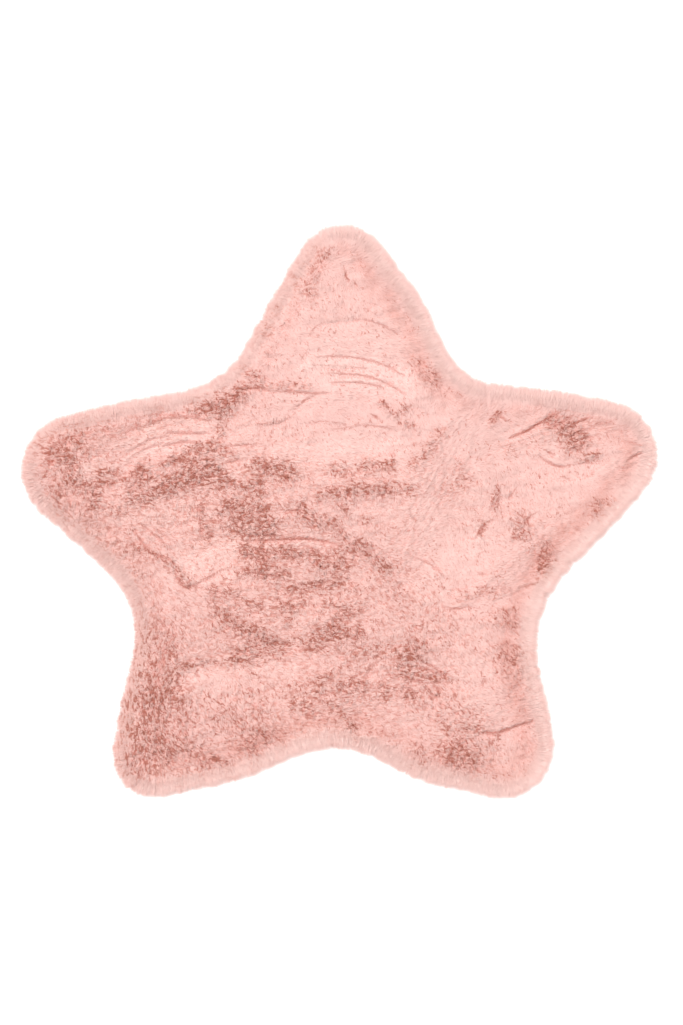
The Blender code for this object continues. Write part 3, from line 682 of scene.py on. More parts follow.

# Finish. Colours are linear.
# The pile is darker towards its foot: the deeper pink of its roots, and painted shade down among the
# locks.
ROOT_PINK = (0.520, 0.276, 0.248)
DEEP_PINK = (0.620, 0.385, 0.352)
TIP_PINK = (0.638, 0.422, 0.390)
PALE_PINK = (0.740, 0.528, 0.486)
RIM_PINK = (0.950, 0.700, 0.655)  # painted light: the loosest hairs at the rim, brightened for light passing through them
HALF_SHADE = (0.860, 0.68, 0.640)  # what half painted shade multiplies the pile's colour by
FULL_SHADE = (0.57, 0.33, 0.275)  # and the fullest painted shade
BASE_CLOTH = (0.780, 0.620, 0.560)
PILE_ROUGHNESS = 0.85
FOOT_ROUGHNESS = 0.9
CLOTH_ROUGHNESS = 0.9
PILE_SPECULAR = 0.04
SHEEN = 0.025
SHEEN_ROUGHNESS = 0.5
SHEEN_TINT = (1.0, 0.88, 0.85, 1.0)
# Size, detail and distortion of the finest form: curls, the tips of locks, the patches where curls
# gather, and the pile's foot. They are the same at every height, as they are seen from above.
CURL_GRAIN = (0.0040, 3.0, 1.0)
TIP_GRAIN = (0.0030, 2.0, 0.8)
PATCH_GRAIN = (0.030, 1.0, 0.0)
FOOT_GRAIN = (0.0024, 3.0, 0.0)
CURL_STRETCH = 2.2
TIP_STRETCH = 2.4
UPRIGHT_STRETCH = 1000
CURL_HEIGHT = 0.0017
CURL_STEP = 0.0010
PAINTED_LIGHT_FROM = math.radians(130)  # painted light on the curls' sides turned this way, and painted shade on those turned away
# Ramps: the painted shade of a curl's hollow and the painted highlight of its crest for its height, where
# curls gather, the pile's colours from foot to tip, the colours of its foot, and what painted shade
# multiplies a colour by.
HOLLOW_RAMP = ((0.36, 1.0), (0.43, 0.7), (0.475, 0.0))
CREST_RAMP = ((0.52, 0.0), (0.64, 1.0))
PATCH_RAMP = ((0.52, 0.0), (0.66, 1.0))
PILE_RAMP = ((0.0, ROOT_PINK), (0.45, DEEP_PINK), (1.0, TIP_PINK))
FOOT_RAMP = ((0.35, ROOT_PINK), (0.65, DEEP_PINK))
SHADE_RAMP = ((0.0, 1.0), (0.5, HALF_SHADE), (1.0, FULL_SHADE))
WALE_SCALE = 180  # of the base cloth's knitted wales
WALE_WAVER = 1.2
WALE_HEIGHT = 0.0003
WALE_SHADE = 0.86

CAMERA_LENS = 85.0  # millimetres
SENSOR = 36.0
CAMERA_REACH = 30
FLOOR_SIZE = 12
FLOOR_GREY = (0.93, 0.93, 0.93, 1)
# (light, place, size, power)
LIGHTS = (
    ("window", (-3.7, 3.4, 10.2), 6.0, 1420),
    ("fill", (2.8, -1.8, 4.8), 4.0, 70),
)
SKY_WHITE = (1.0, 0.99, 0.98, 1)
SKY_STRENGTH = 0.80


def from_photo(x, y):
    """A place on the rug, in metres from its middle, from a pixel of the photo."""
    return np.array(((x - PHOTO_MIDDLE[0]) * PIXEL, (PHOTO_MIDDLE[1] - y) * PIXEL))


def direction(angle):
    return np.array((math.cos(angle), math.sin(angle)))


def unit(vectors):
    return vectors / np.linalg.norm(vectors, axis=1)[:, None]


def ripples(points, wavelength, seed, waves=9):
    """Smooth, uneven swells over the rug, mostly between -1 and 1."""
    chance = np.random.default_rng(seed)
    total = np.zeros(len(points))
    for _ in range(waves):
        way = direction(chance.uniform(0, 2 * math.pi))
        length = wavelength * chance.uniform(0.7, 1.4)
        total += np.sin(2 * math.pi * (points @ way) / length + chance.uniform(0, 2 * math.pi))
    return total / math.sqrt(waves)


def strength_of(streaks, points):
    """How strongly a table's streaks hold at each point, from 0 to 1.

    Their edges wander, and each is broken up into lines along its own way. The pile lies towards
    the legs, so a streak starts sharply under the tips above it and fades out below."""
    wander = [ripples(points, PATCH_WANDER_SIZE, seed) for seed in (3, 4)]
    points = points + np.column_stack(wander) * PATCH_WANDER
    bend = STREAK_LINE_BEND * ripples(points, STREAK_LINE_BEND_SIZE, 5)
    patchy = 1 + PATCHINESS * ripples(points, PATCH_SIZE, 6)
    left_over = np.ones(len(points))
    for *streak, width, strength in streaks:
        near, offset, gap, along, _ = round_streak(streak, points, STREAK_MARGIN * width * PIXEL)
        across = np.array((-along[1], along[0]))
        across *= 1 if across[1] > 0 else -1
        beside = offset @ across
        lines = 1 + STREAK_LINES * np.sin(2 * math.pi * beside / STREAK_LINE_PITCH + bend[near])
        above = beside > 0
        reach = np.where(above, STREAK_ABOVE, STREAK_BELOW) * width * PIXEL
        held = np.exp(-((gap / reach) ** np.where(above, 4, 2))) * lines * patchy[near]
        left_over[near] *= 1 - np.clip(strength * held, 0, 1)
    return 1 - left_over


def round_streak(streak, points, margin):
    """Which points are near a streak, each one's offset and gap, and its direction and length."""
    _, x0, y0, x1, y1 = streak
    start, end = from_photo(x0, y0), from_photo(x1, y1)
    run = end - start
    length = np.hypot(*run)
    low, high = np.minimum(start, end) - margin, np.maximum(start, end) + margin
    near = np.flatnonzero(((points > low) & (points < high)).all(axis=1))
    offset = points[near] - start
    share = np.clip(offset @ run / length**2, 0, 1)
    gap = np.hypot(*(offset - share[:, None] * run).T)
    return near, offset, gap, run / length, length


def combed(points):
    """How far brushing has drawn the pile out at points, in each direction of COMBINGS."""
    sway = COMBING_SWAY * ripples(points, COMBING_SWAY_SIZE, 7)
    pull = np.column_stack((np.full(len(points), LEVEL_COMBING), sway))
    for stroke in STROKES:
        along, hold, _ = stroke_pull(stroke, points)
        pull += hold[:, None] * doubled(along)
    for *streak, width, _ in RUFFLED:
        reach = width * PIXEL
        near, _, gap, along, length = round_streak(streak, points, STREAK_COMBING_MARGIN * reach)
        strongest = STREAK_COMBING * min(length / reach, STREAK_COMBING_MOST)
        hold = strongest * np.exp(-((gap / reach) ** 2))
        pull[near] += hold[:, None] * doubled(along)
    pull = unit(pull)
    return {name: np.clip(pull @ doubled(direction(angle)), 0, 1) ** 2 for name, angle in COMBINGS}


def doubled(way):
    """A direction turned to twice its angle, so that a line's two ways along it are the same."""
    return np.array((way[0] ** 2 - way[1] ** 2, 2 * way[0] * way[1]))


def smooth_line(corners):
    """A line through given corners, its turns rounded and its points close together."""
    for _ in range(2):
        ahead = corners[:-1] * 0.75 + corners[1:] * 0.25
        behind = corners[:-1] * 0.25 + corners[1:] * 0.75
        cut = np.stack((ahead, behind), axis=1).reshape(-1, 2)
        corners = np.vstack((corners[:1], cut, corners[-1:]))
    walked = np.concatenate(([0.0], np.cumsum(np.hypot(*np.diff(corners, axis=0).T))))
    steps = np.linspace(0, walked[-1], max(3, round(walked[-1] / CREASE_STEP)))
    return np.column_stack([np.interp(steps, walked, corners[:, axis]) for axis in (0, 1)])


def crease_points():
    """Every crease as points a step apart, with how deep it is and the direction across it."""
    points, depths, across = [], [], []
    for _, depth, *numbers in CREASES:
        corners = np.array([from_photo(*pair) for pair in zip(numbers[::2], numbers[1::2])])
        line = smooth_line(corners)
        along = unit(np.gradient(line, axis=0))
        taper = np.sin(np.linspace(*CREASE_ENDS, len(line)) * math.pi) ** 0.5
        points.append(line)
        depths.append(depth * taper)
        across.append(np.column_stack((-along[:, 1], along[:, 0])))
    return np.vstack(points), np.concatenate(depths), np.vstack(across)


def nearest(places, points):
    """For each point, which of the places is nearest and how far off it is."""
    tree = KDTree(len(places))
    for i, place in enumerate(places):
        tree.insert((*place, 0), i)
    tree.balance()
    found = [tree.find((x, y, 0)) for x, y in points]
    return np.array([hit[1] for hit in found]), np.array([hit[2] for hit in found])


def beside_crease(creases, points):
    """For each point, how deep the nearest crease is, its gap, its side and the direction across."""
    line, depth, across = creases
    index, gap = nearest(line, points)
    side = ((points - line[index]) * across[index]).sum(axis=1)
    return depth[index], gap, side, across[index]


def stroke_pull(stroke, points):
    """A stroke's direction, how strongly it holds at points, and how far they lie to its side."""
    _, x0, y0, x1, y1, width = stroke
    start, end = from_photo(x0, y0), from_photo(x1, y1)
    length = np.hypot(*(end - start))
    along = (end - start) / length
    offset = points - (start + end) / 2
    lengthways = offset @ along / (length / 2 + width * STROKE_END)
    beside = offset @ np.array((-along[1], along[0]))
    return along, np.exp(-(lengthways**4) - (beside / (width / 2)) ** 2), beside


def edge_ring(mesh):
    """The edge of the solid's flat underside, as points in order, anticlockwise."""
    used = {}
    for face in mesh.polygons:
        if face.normal.z < -0.9 and abs(face.center.z) < 1e-4:
            for key in face.edge_keys:
                used[key] = used.get(key, 0) + 1
    beside = {}
    for (a, b), count in used.items():
        if count == 1:
            beside.setdefault(a, []).append(b)
            beside.setdefault(b, []).append(a)
    start = min(beside)
    walk = [start]
    last, here = start, beside[start][0]
    while here != start:
        walk.append(here)
        last, here = here, [corner for corner in beside[here] if corner != last][0]
    ring = np.array([mesh.vertices[i].co[:2] for i in walk])
    ahead = np.roll(ring, -1, axis=0)
    turning = np.sum(ring[:, 0] * ahead[:, 1] - ahead[:, 0] * ring[:, 1])
    return ring if turning > 0 else ring[::-1]


def even_ring(ring, pitch):
    """The ring again with points a pitch apart, and the outward direction at each."""
    closed = np.vstack((ring, ring[:1]))
    walked = np.concatenate(([0.0], np.cumsum(np.hypot(*np.diff(closed, axis=0).T))))
    steps = np.arange(round(walked[-1] / pitch)) * pitch
    points = np.column_stack([np.interp(steps, walked, closed[:, axis]) for axis in (0, 1)])
    span = max(3, round(EDGE_SPAN / pitch))
    along = np.roll(points, -span, axis=0) - np.roll(points, span, axis=0)
    return points, unit(np.column_stack((along[:, 1], -along[:, 0])))


class Edge:
    """The widest place of the bed, all round the rug."""

    def __init__(self, ring):
        cloth, self.outward = even_ring(ring, EDGE_PITCH)
        self.points = cloth + self.outward * WIDEST_PLACE

    def beyond(self, points):
        """How far outside it points lie, and the outward direction there. Inside is less than 0."""
        index, gap = nearest(self.points, points)
        side = ((points - self.points[index]) * self.outward[index]).sum(axis=1)
        return np.where(side > 0, gap, -gap), self.outward[index]


def select_only(thing):
    bpy.ops.object.select_all(action="DESELECT")
    thing.select_set(True)
    bpy.context.view_layer.objects.active = thing


def copy_of_solid():
    select_only(frame["nodes"]["star_rug"])
    bpy.ops.object.duplicate()
    bed = bpy.context.object
    bed.name = "plush_bed"
    bpy.ops.object.parent_clear(type="CLEAR_KEEP_TRANSFORM")
    bpy.ops.object.transform_apply(location=True, rotation=True, scale=True)
    bpy.ops.object.mode_set(mode="EDIT")
    bpy.ops.mesh.select_all(action="SELECT")
    bpy.ops.mesh.remove_doubles(threshold=0.00001)
    bpy.ops.object.mode_set(mode="OBJECT")
    return bed


def take_off_locks(bed, edge):
    """Cuts off the solid's own locks and closes the rim between their roots."""
    places = np.array([vert.co[:2] for vert in bed.data.vertices])
    beyond, _ = edge.beyond(places)
    bpy.ops.object.mode_set(mode="EDIT")
    bpy.ops.mesh.select_mode(type="VERT")
    bpy.ops.mesh.select_all(action="DESELECT")
    bpy.ops.object.mode_set(mode="OBJECT")
    bed.data.vertices.foreach_set("select", beyond > ROOTS_REACH)
    bpy.ops.object.mode_set(mode="EDIT")
    bpy.ops.mesh.delete(type="VERT")
    bpy.ops.mesh.select_all(action="SELECT")
    bpy.ops.mesh.delete_loose(use_verts=True, use_edges=True, use_faces=False)
    bpy.ops.mesh.select_all(action="DESELECT")
    bpy.ops.mesh.select_non_manifold(extend=False)
    bpy.ops.mesh.bridge_edge_loops()
    bpy.ops.mesh.select_all(action="SELECT")
    bpy.ops.mesh.normals_make_consistent(inside=False)
    bpy.ops.object.mode_set(mode="OBJECT")


def move_upright(bed, name, amounts):
    """Moves each of the bed's points up or down by its amount, through a group and a modifier."""
    group = bed.vertex_groups.new(name=name)
    most = np.abs(amounts).max()
    for i in np.flatnonzero(np.abs(amounts) > most * 0.01):
        group.add([int(i)], abs(amounts[i]) / most, "REPLACE")
    mover = bed.modifiers.new(name, "DISPLACE")
    mover.direction = "Z"
    mover.mid_level = 0
    mover.vertex_group = name
    mover.strength = most * np.sign(amounts.sum())
    bpy.ops.object.modifier_apply(modifier=name)
    bed.vertex_groups.remove(bed.vertex_groups[name])


def brush_relief(points, creases):
    """How far brushing has raised and lowered the pile at points."""
    ruffled = strength_of(RUFFLED, points)
    ridges = np.zeros(len(points))
    for number, stroke in enumerate(STROKES):
        _, pull, beside = stroke_pull(stroke, points)
        sway = RIDGE_SWAY * ripples(points, RIDGE_SWAY_SIZE, 100 + number)
        ridges += pull * np.sin(2 * math.pi * beside / RIDGE_PITCH + sway)
    uneven = ripples(points, TUFT_SIZE, 41) * (LAID_TUFTS + ruffled)
    uneven += SWELL_SHARE * ripples(points, SWELL_SIZE, 42)
    relief = RIDGE_HEIGHT * ridges + TUFT_RELIEF * uneven
    depth, gap, side, _ = beside_crease(creases, points)
    relief -= PARTING_DEPTH * depth * np.exp(-((gap / PARTING_WIDTH) ** 2))
    bank = np.exp(-(((side - 2 * PARTING_WIDTH) / PARTING_WIDTH) ** 2)) * (gap < 4 * PARTING_WIDTH)
    relief += BANK_SHARE * PARTING_DEPTH * depth * bank
    return relief


def pile_slope(points, ruffled, creases):
    """Which way, and how steeply, the brushed pile's surface slopes at points."""

    def height(places):
        total = CURL_RELIEF * ripples(places, CURL_RELIEF_SIZE, 44) * (CALM_SHARE + ruffled)
        for number, stroke in enumerate(STROKES):
            _, pull, beside = stroke_pull(stroke, places)
            lines = np.sin(2 * math.pi * beside / STROKE_LINE_PITCH + sway[number])
            total += STROKE_RELIEF * pull * lines
        return total

    seeds = range(120, 120 + len(STROKES))
    sway = [STROKE_LINE_SWAY * ripples(points, STROKE_LINE_SWAY_SIZE, seed) for seed in seeds]
    here = height(points)
    climbs = [height(points + shift) - here for shift in ((SLOPE_STEP, 0), (0, SLOPE_STEP))]
    slope = np.column_stack(climbs) / SLOPE_STEP
    depth, gap, side, across = beside_crease(creases, points)
    steep = 2 * PARTING_DEPTH * side / PARTING_WIDTH**2 * depth * np.exp(-((gap / PARTING_WIDTH) ** 2))
    return slope + across * (PARTING_SLOPE * steep)[:, None]


def tilted(facing, slope):
    """The bed's facing, leaned over by the pile's own slope."""
    return unit(facing + np.column_stack((-slope, np.zeros(len(slope)))))


def make_bed(creases):
    """The base cloth with the dense foot of its pile: the solid without its locks, and lower."""
    bed = copy_of_solid()
    edge = Edge(edge_ring(bed.data))
    take_off_locks(bed, edge)
    height = max(vert.co.z for vert in bed.data.vertices)
    bpy.ops.transform.resize(value=(1, 1, BED_TOP / height), center_override=(0, 0, 0))
    bpy.ops.object.transform_apply(location=True, rotation=True, scale=True)
    rounder = bed.modifiers.new("rounder", "SUBSURF")
    rounder.levels = 2
    bpy.ops.object.modifier_apply(modifier=rounder.name)

    places = np.array([vert.co[:2] for vert in bed.data.vertices])
    upward = np.array([vert.normal.z for vert in bed.data.vertices])
    beyond, _ = edge.beyond(places)
    on_top = np.clip(-beyond / RIM_ROUNDING, 0, 1) * (upward > 0.3)
    relief = brush_relief(places, creases) * on_top
    move_upright(bed, "ridges", np.maximum(relief, 0))
    move_upright(bed, "partings", np.minimum(relief, 0))
    bpy.ops.object.shade_smooth()
    return bed, edge


def lay_of_pile(points, edge, creases):
    """How the pile lies at points: its heading, rise and length, how it clings and how unruly it is."""
    turns = LAY_TURNS * ripples(points, LAY_TURN_SIZE, 22)
    swing = LAY_SWING * (ripples(points, LAY_SWING_SIZE, 21) + turns)
    way = np.column_stack((np.cos(LAY + swing), np.sin(LAY + swing)))
    for stroke in STROKES:
        along, pull, _ = stroke_pull(stroke, points)
        way += along * STROKE_HOLD * pull[:, None]
    ruffled = strength_of(RUFFLED, points)
    brushed = strength_of(FLAT, points)
    unruly = np.column_stack([ripples(points, UNRULY_SIZE, seed) for seed in (31, 32)])
    way = unit(way) + unruly * (UNRULY + UNRULY_RUFFLED * ruffled - UNRULY_FLAT * brushed)[:, None]

    depth, gap, side, across = beside_crease(creases, points)
    pull = CREASE_LEAN * depth * np.exp(-((gap / CREASE_PULL) ** 2))
    way += across * (np.sign(side) * pull)[:, None]

    beyond, outward = edge.beyond(points)
    at_rim = np.clip(1 + beyond / RIM_WIDTH, 0, 1)[:, None] ** RIM_TURN_CURVE
    way = unit(way * (1 - at_rim) + outward * RIM_TURN * at_rim)

    rise = USUAL_RISE + (FLAT_RISE - USUAL_RISE) * brushed + (RAISED_RISE - USUAL_RISE) * ruffled
    rise += RISE_SWAY * ripples(points, RISE_SWAY_SIZE, 33)
    length = LOCK_LENGTH * (1 - CREASE_SHORTER * pull - RUFFLED_SHORTER * ruffled)
    cling = LAID_CLING + (RAISED_CLING - LAID_CLING) * ruffled
    return way, rise, length, cling, ruffled


def over_the_bed(bed_tree, points):
    """Which points have the bed's top under them, how high it is there and which way it faces."""
    found, heights, facing = [], [], []
    down = Vector((0, 0, -1))
    for i, (x, y) in enumerate(points):
        place, normal, _, _ = bed_tree.ray_cast(Vector((x, y, 1.0)), down)
        if place is not None and normal.z > 0.2:
            found.append(i)
            heights.append(place.z)
            facing.append(normal)
    facing = np.array(facing)
    facing[:, 2] = np.maximum(facing[:, 2], FACING_UP)
    return np.array(found), np.array(heights), unit(facing)


def even_pattern(low, high, pitch, scatter, seed):
    """Points in an even three-way pattern over a box, each moved a little from its place."""
    chance = np.random.default_rng(seed)
    row_step = pitch * math.sqrt(3) / 2
    rows = int((high[1] - low[1]) / row_step) + 1
    places = int((high[0] - low[0]) / pitch) + 1
    row, place = np.mgrid[0:rows, 0:places]
    points = np.column_stack(
        (low[0] + (place + 0.5 * (row % 2)).ravel() * pitch, low[1] + row.ravel() * row_step)
    )
    return points + chance.uniform(-scatter, scatter, points.shape) * pitch


def lock_run(way, rise, length):
    """From a lock's foot to its tip."""
    return np.column_stack((way * (np.cos(rise) * length)[:, None], np.sin(rise) * length))


def turned(way, angle):
    x, y = way.T
    return np.column_stack((x * np.cos(angle) - y * np.sin(angle), x * np.sin(angle) + y * np.cos(angle)))


def top_locks(bed_tree, low, high, edge, creases):
    """Foot, middle, tip, width, roll and the bed's facing of every lock over the top."""
    chance = np.random.default_rng(61)
    points = even_pattern(low, high, LOCK_PITCH, LOCK_SCATTER, 62)
    kept, heights, facing = over_the_bed(bed_tree, points)
    points = points[kept]
    count = len(points)
    way, rise, length, cling, ruffled = lay_of_pile(points, edge, creases)
    way = turned(way, chance.normal(0, 1, count) * TURN_SPREAD * (1 + ruffled))
    rise = rise + chance.normal(0, RISE_SPREAD, count)
    length = length * (1 + chance.normal(0, LENGTH_SPREAD, count))
    feet = np.column_stack((points, heights - SUNK))
    run = lock_run(way, rise, length)
    middles = feet + run * MIDDLE_PLACE
    middles[:, 2] += ARCH * length
    tips = feet + run

    centres = even_pattern(low, high, TUFT_PITCH, TUFT_SCATTER, 51)
    kept, heights, _ = over_the_bed(bed_tree, centres)
    centres = centres[kept]
    way, rise, length, _, _ = lay_of_pile(centres, edge, creases)
    gathered = np.column_stack((centres, heights)) + lock_run(way, rise, length)
    tuft, _ = nearest(centres, points)
    share = np.clip(cling + chance.normal(0, CLING_SPREAD, count), 0, CLING_MOST)[:, None]
    tips += (gathered[tuft] - tips) * share * TIP_CLING
    middles += (gathered[tuft] - tips) * share * MIDDLE_CLING
    width = LOCK_WIDTH * chance.uniform(*LOCK_WIDTHS, count)
    roll = chance.normal(0, 1, count) * (LAID_ROLL + (RAISED_ROLL - LAID_ROLL) * ruffled)
    slopes = [pile_slope(place[:, :2], ruffled, creases) for place in (feet, middles, tips)]
    facing = np.stack([tilted(facing, slope) for slope in slopes], axis=1)
    return feet, middles, tips, width, roll, facing


def all_along(facing):
    """The same facing at a lock's foot, middle and tip."""
    return np.repeat(facing[:, None], 3, axis=1)


def facing_of_rim(outward, rise):
    """The way that the rounded rim faces: outwards low down, and upwards near the top."""
    return np.column_stack((outward * np.cos(rise)[:, None], np.sin(rise)))


def crease_shade_locks(bed_tree, creases):
    """Foot, middle, tip, width, roll, facing and painted shade of the locks that lie along the creases.
    """
    chance = np.random.default_rng(65)
    line, depth, across = creases
    picked = np.flatnonzero(chance.uniform(0, 1, len(line)) < CREASE_STEP / CREASE_LOCK_PITCH)
    points, depth, across = line[picked], depth[picked], across[picked]
    points = points + across * chance.normal(0, CREASE_UNEVEN, len(points))[:, None]
    kept, heights, facing = over_the_bed(bed_tree, points)
    points, depth, across = points[kept], depth[kept], across[kept]
    count = len(points)
    along = np.column_stack((across[:, 1], -across[:, 0]))
    way = turned(along, chance.normal(0, CREASE_TURN_SPREAD, count))
    feet = np.column_stack((points, heights + CREASE_LOCK_LEVEL))
    length = CREASE_LOCK_LENGTH * chance.uniform(*CREASE_LENGTHS, count)
    run = lock_run(way, np.full(count, SHADED_RISE), length)
    widest = CREASE_LOCK_WIDTH * (CREASE_THINNEST + (1 - CREASE_THINNEST) * depth)
    width = widest * chance.uniform(*SHADED_WIDTHS, count)
    shade = depth**CREASE_DEPTH_CURVE * chance.uniform(*CREASE_SHADES, count)
    roll = chance.normal(0, SHADED_ROLL, count)
    return feet, feet + run * 0.5, feet + run, width, roll, all_along(facing), shade


def curl_shade_locks(bed_tree, low, high, edge):
    """Foot, middle, tip, width, roll, facing and painted shade of the dark locks at the edges of small
    curls.
    """
    chance = np.random.default_rng(67)
    points = even_pattern(low, high, CURL_PITCH, CURL_SCATTER, 68)
    swell = ripples(points, CURL_SIZE, 87)
    shifts = ((CURL_SLOPE_STEP, 0), (0, CURL_SLOPE_STEP))
    slope = [ripples(points + shift, CURL_SIZE, 87) - swell for shift in shifts]
    broken = ripples(points, CURL_BREAK_SIZE, 88) > CURL_BREAKS
    picked = (np.abs(swell) < CURL_BREADTH) & broken
    points, way = points[picked], unit(np.column_stack((-slope[1], slope[0]))[picked])
    gathering = CURL_GATHERING * ripples(points, CURL_GATHERING_SIZE, 89)
    density = np.clip(CURL_SHARE * (1 + gathering), 0, 1)
    density += CURL_IN_RUFFLES * strength_of(RUFFLED, points)
    beyond, _ = edge.beyond(points)
    density *= np.clip(-beyond / RIM_ROUNDING, 0, 1)
    picked = chance.uniform(0, 1, len(points)) < density
    points, way, density = points[picked], way[picked], density[picked]
    kept, heights, facing = over_the_bed(bed_tree, points)
    points, way, density = points[kept], way[kept], density[kept]
    count = len(points)
    way = turned(way, chance.normal(0, CURL_TURN_SPREAD, count))
    feet = np.column_stack((points, heights + CURL_LEVEL))
    length = CURL_LENGTH * chance.uniform(*CURL_LENGTHS, count)
    run = lock_run(way, np.full(count, SHADED_RISE), length)
    aside = turned(way, np.full(count, math.pi / 2))
    bow = aside * (CURL_BOW * chance.normal(0, 1, count))[:, None]
    middles = feet + run * 0.5 + np.column_stack((bow, np.zeros(count)))
    width = CURL_WIDTH * chance.uniform(*SHADED_WIDTHS, count)
    shade = np.clip(CURL_SHADE + CURL_SHADE_AMONG * density, 0, CURL_SHADE_MOST)
    shade = shade * chance.uniform(*CURL_SHADES, count)
    roll = chance.normal(0, SHADED_ROLL, count)
    return feet, middles, feet + run, width, roll, all_along(facing), shade


def scallops(points):
    """The rim's gentle waves, where locks draw together: how far each place reaches and turns."""
    reach = SCALLOP_DEPTH * ripples(points, SCALLOP_PITCH, 72)
    return reach, SCALLOP_TURN * ripples(points, SCALLOP_PITCH, 73)


def rim_locks(edge):
    """Foot, middle, tip, width, roll and facing of every lock round the edge."""
    chance = np.random.default_rng(71)
    groups = []
    for row, (_, inset, height, rise, length) in enumerate(RIM_ROWS):
        points, outward = even_ring(edge.points, RIM_PITCH)
        count = len(points)
        points = points + chance.normal(0, RIM_SCATTER, points.shape)
        feet = np.column_stack((points - outward * inset, np.full(count, height)))
        feet[:, 2] += chance.normal(0, RIM_HEIGHT_SPREAD, count)
        reach, turn = scallops(points)
        lengths = length * (1 + chance.normal(0, RIM_LENGTH_SPREAD, count)) + reach
        way = turned(outward, chance.normal(0, RIM_TURN_SPREAD, count) + turn)
        run = lock_run(way, np.radians(rise + chance.normal(0, RIM_RISE_SPREAD, count)), lengths)
        middles = feet + run * 0.5
        middles[:, 2] += ARCH * lengths
        tips = feet + run
        tips[:, 2] -= RIM_DROP * chance.uniform(*RIM_DROPS, count)
        width = RIM_LOCK_WIDTH * chance.uniform(*RIM_WIDTHS, count)
        facing = facing_of_rim(outward, np.full(count, RIM_FACING + row * RIM_FACING_STEP))
        facing = unit(facing + chance.normal(0, RIM_UNEVEN, facing.shape))
        groups.append((feet, middles, tips, width, np.zeros(count), all_along(facing)))
    return [np.concatenate(parts) for parts in zip(*groups)]


def fringe_hairs(edge):
    """Foot, tip, width and facing of the fine hairs that soften the edge."""
    chance = np.random.default_rng(75)
    picked = chance.integers(0, len(edge.points), FRINGE_COUNT)
    points, outward = edge.points[picked], edge.outward[picked]
    points = points + chance.uniform(-0.5, 0.5, points.shape) * EDGE_PITCH
    level = chance.uniform(0, 1, FRINGE_COUNT)
    inset = FRINGE_INSET + FRINGE_BEHIND * level[:, None] ** 2
    feet = np.column_stack((points - outward * inset, FRINGE_LOWEST + FRINGE_CLIMB * level))
    reach, turn = scallops(points)
    way = turned(outward, chance.normal(0, FRINGE_TURN_SPREAD, FRINGE_COUNT) + turn)
    rise = FRINGE_RISE + FRINGE_STEEPER * level
    rise = np.radians(rise + chance.normal(0, FRINGE_RISE_SPREAD, FRINGE_COUNT))
    shortest, longest = FRINGE_LENGTH
    length = shortest + (longest - shortest) * chance.beta(*FRINGE_LENGTHS, FRINGE_COUNT) + reach
    tips = feet + lock_run(way, rise, length)
    tips[:, 2] -= RIM_DROP * chance.uniform(*FRINGE_DROPS, FRINGE_COUNT)
    facing = facing_of_rim(outward, RIM_FACING + (len(RIM_ROWS) - 1) * RIM_FACING_STEP * level)
    facing = unit(facing + chance.normal(0, RIM_UNEVEN, facing.shape))
    return feet, tips, FRINGE_WIDTH * chance.uniform(*FRINGE_WIDTHS, FRINGE_COUNT), facing


def sides_of(feet, tips):
    """The level direction across each lock, and the one out of its upper side."""
    run = unit(tips - feet)
    side = unit(np.column_stack((-run[:, 1], run[:, 0], np.full(len(run), 1e-6))))
    return side, np.cross(run, side)


def leaf_corners(feet, middles, tips, width, roll, facing):
    """Five corners for each narrow leaf: right and left of its foot and of its middle, and its tip.

    The pile is soft, so light falls on a leaf much as it falls on the bed below it."""
    side, over = sides_of(feet, tips)
    across = side * np.cos(roll)[:, None] + over * np.sin(roll)[:, None]
    half = across * (width / 2)[:, None]
    waist = half * MIDDLE_WIDTH
    corners = np.stack((feet - half, feet + half, middles - waist, middles + waist, tips), axis=1)
    upper = np.cross(unit(tips - feet), across)[:, None]
    lit_as = facing * (1 - OWN_SHADING) + upper * OWN_SHADING
    return corners, unit(lit_as[:, LEAF_STATIONS].reshape(-1, 3))


def hair_corners(feet, tips, width, facing):
    """Three corners for each hair: right and left of its foot, and its tip."""
    side, _ = sides_of(feet, tips)
    half = side * (width / 2)[:, None]
    corners = np.stack((feet - half, feet + half, tips), axis=1)
    return corners, np.repeat(facing, corners.shape[1], axis=0)


# How a leaf's corners make its faces, each corner with its place in the leaf's own patch of the map.
# (corner, across the patch, up the patch)
LEAF_FACES = (
    ((0, 0.08, 0.08), (2, 0.08, 0.50), (3, 0.92, 0.50), (1, 0.92, 0.08)),
    ((2, 0.08, 0.50), (4, 0.50, 0.94), (3, 0.92, 0.50)),
)
LEAF_HEIGHTS = (0.0, 0.0, 0.5, 0.5, 1.0)
LEAF_STATIONS = (0, 0, 1, 1, 2)
HAIR_FACES = (((0, 0.08, 0.08), (2, 0.50, 0.94), (1, 0.92, 0.08)),)
HAIR_HEIGHTS = (0.6, 0.6, 1.0)
HAIR_STATIONS = (0, 0, 1)


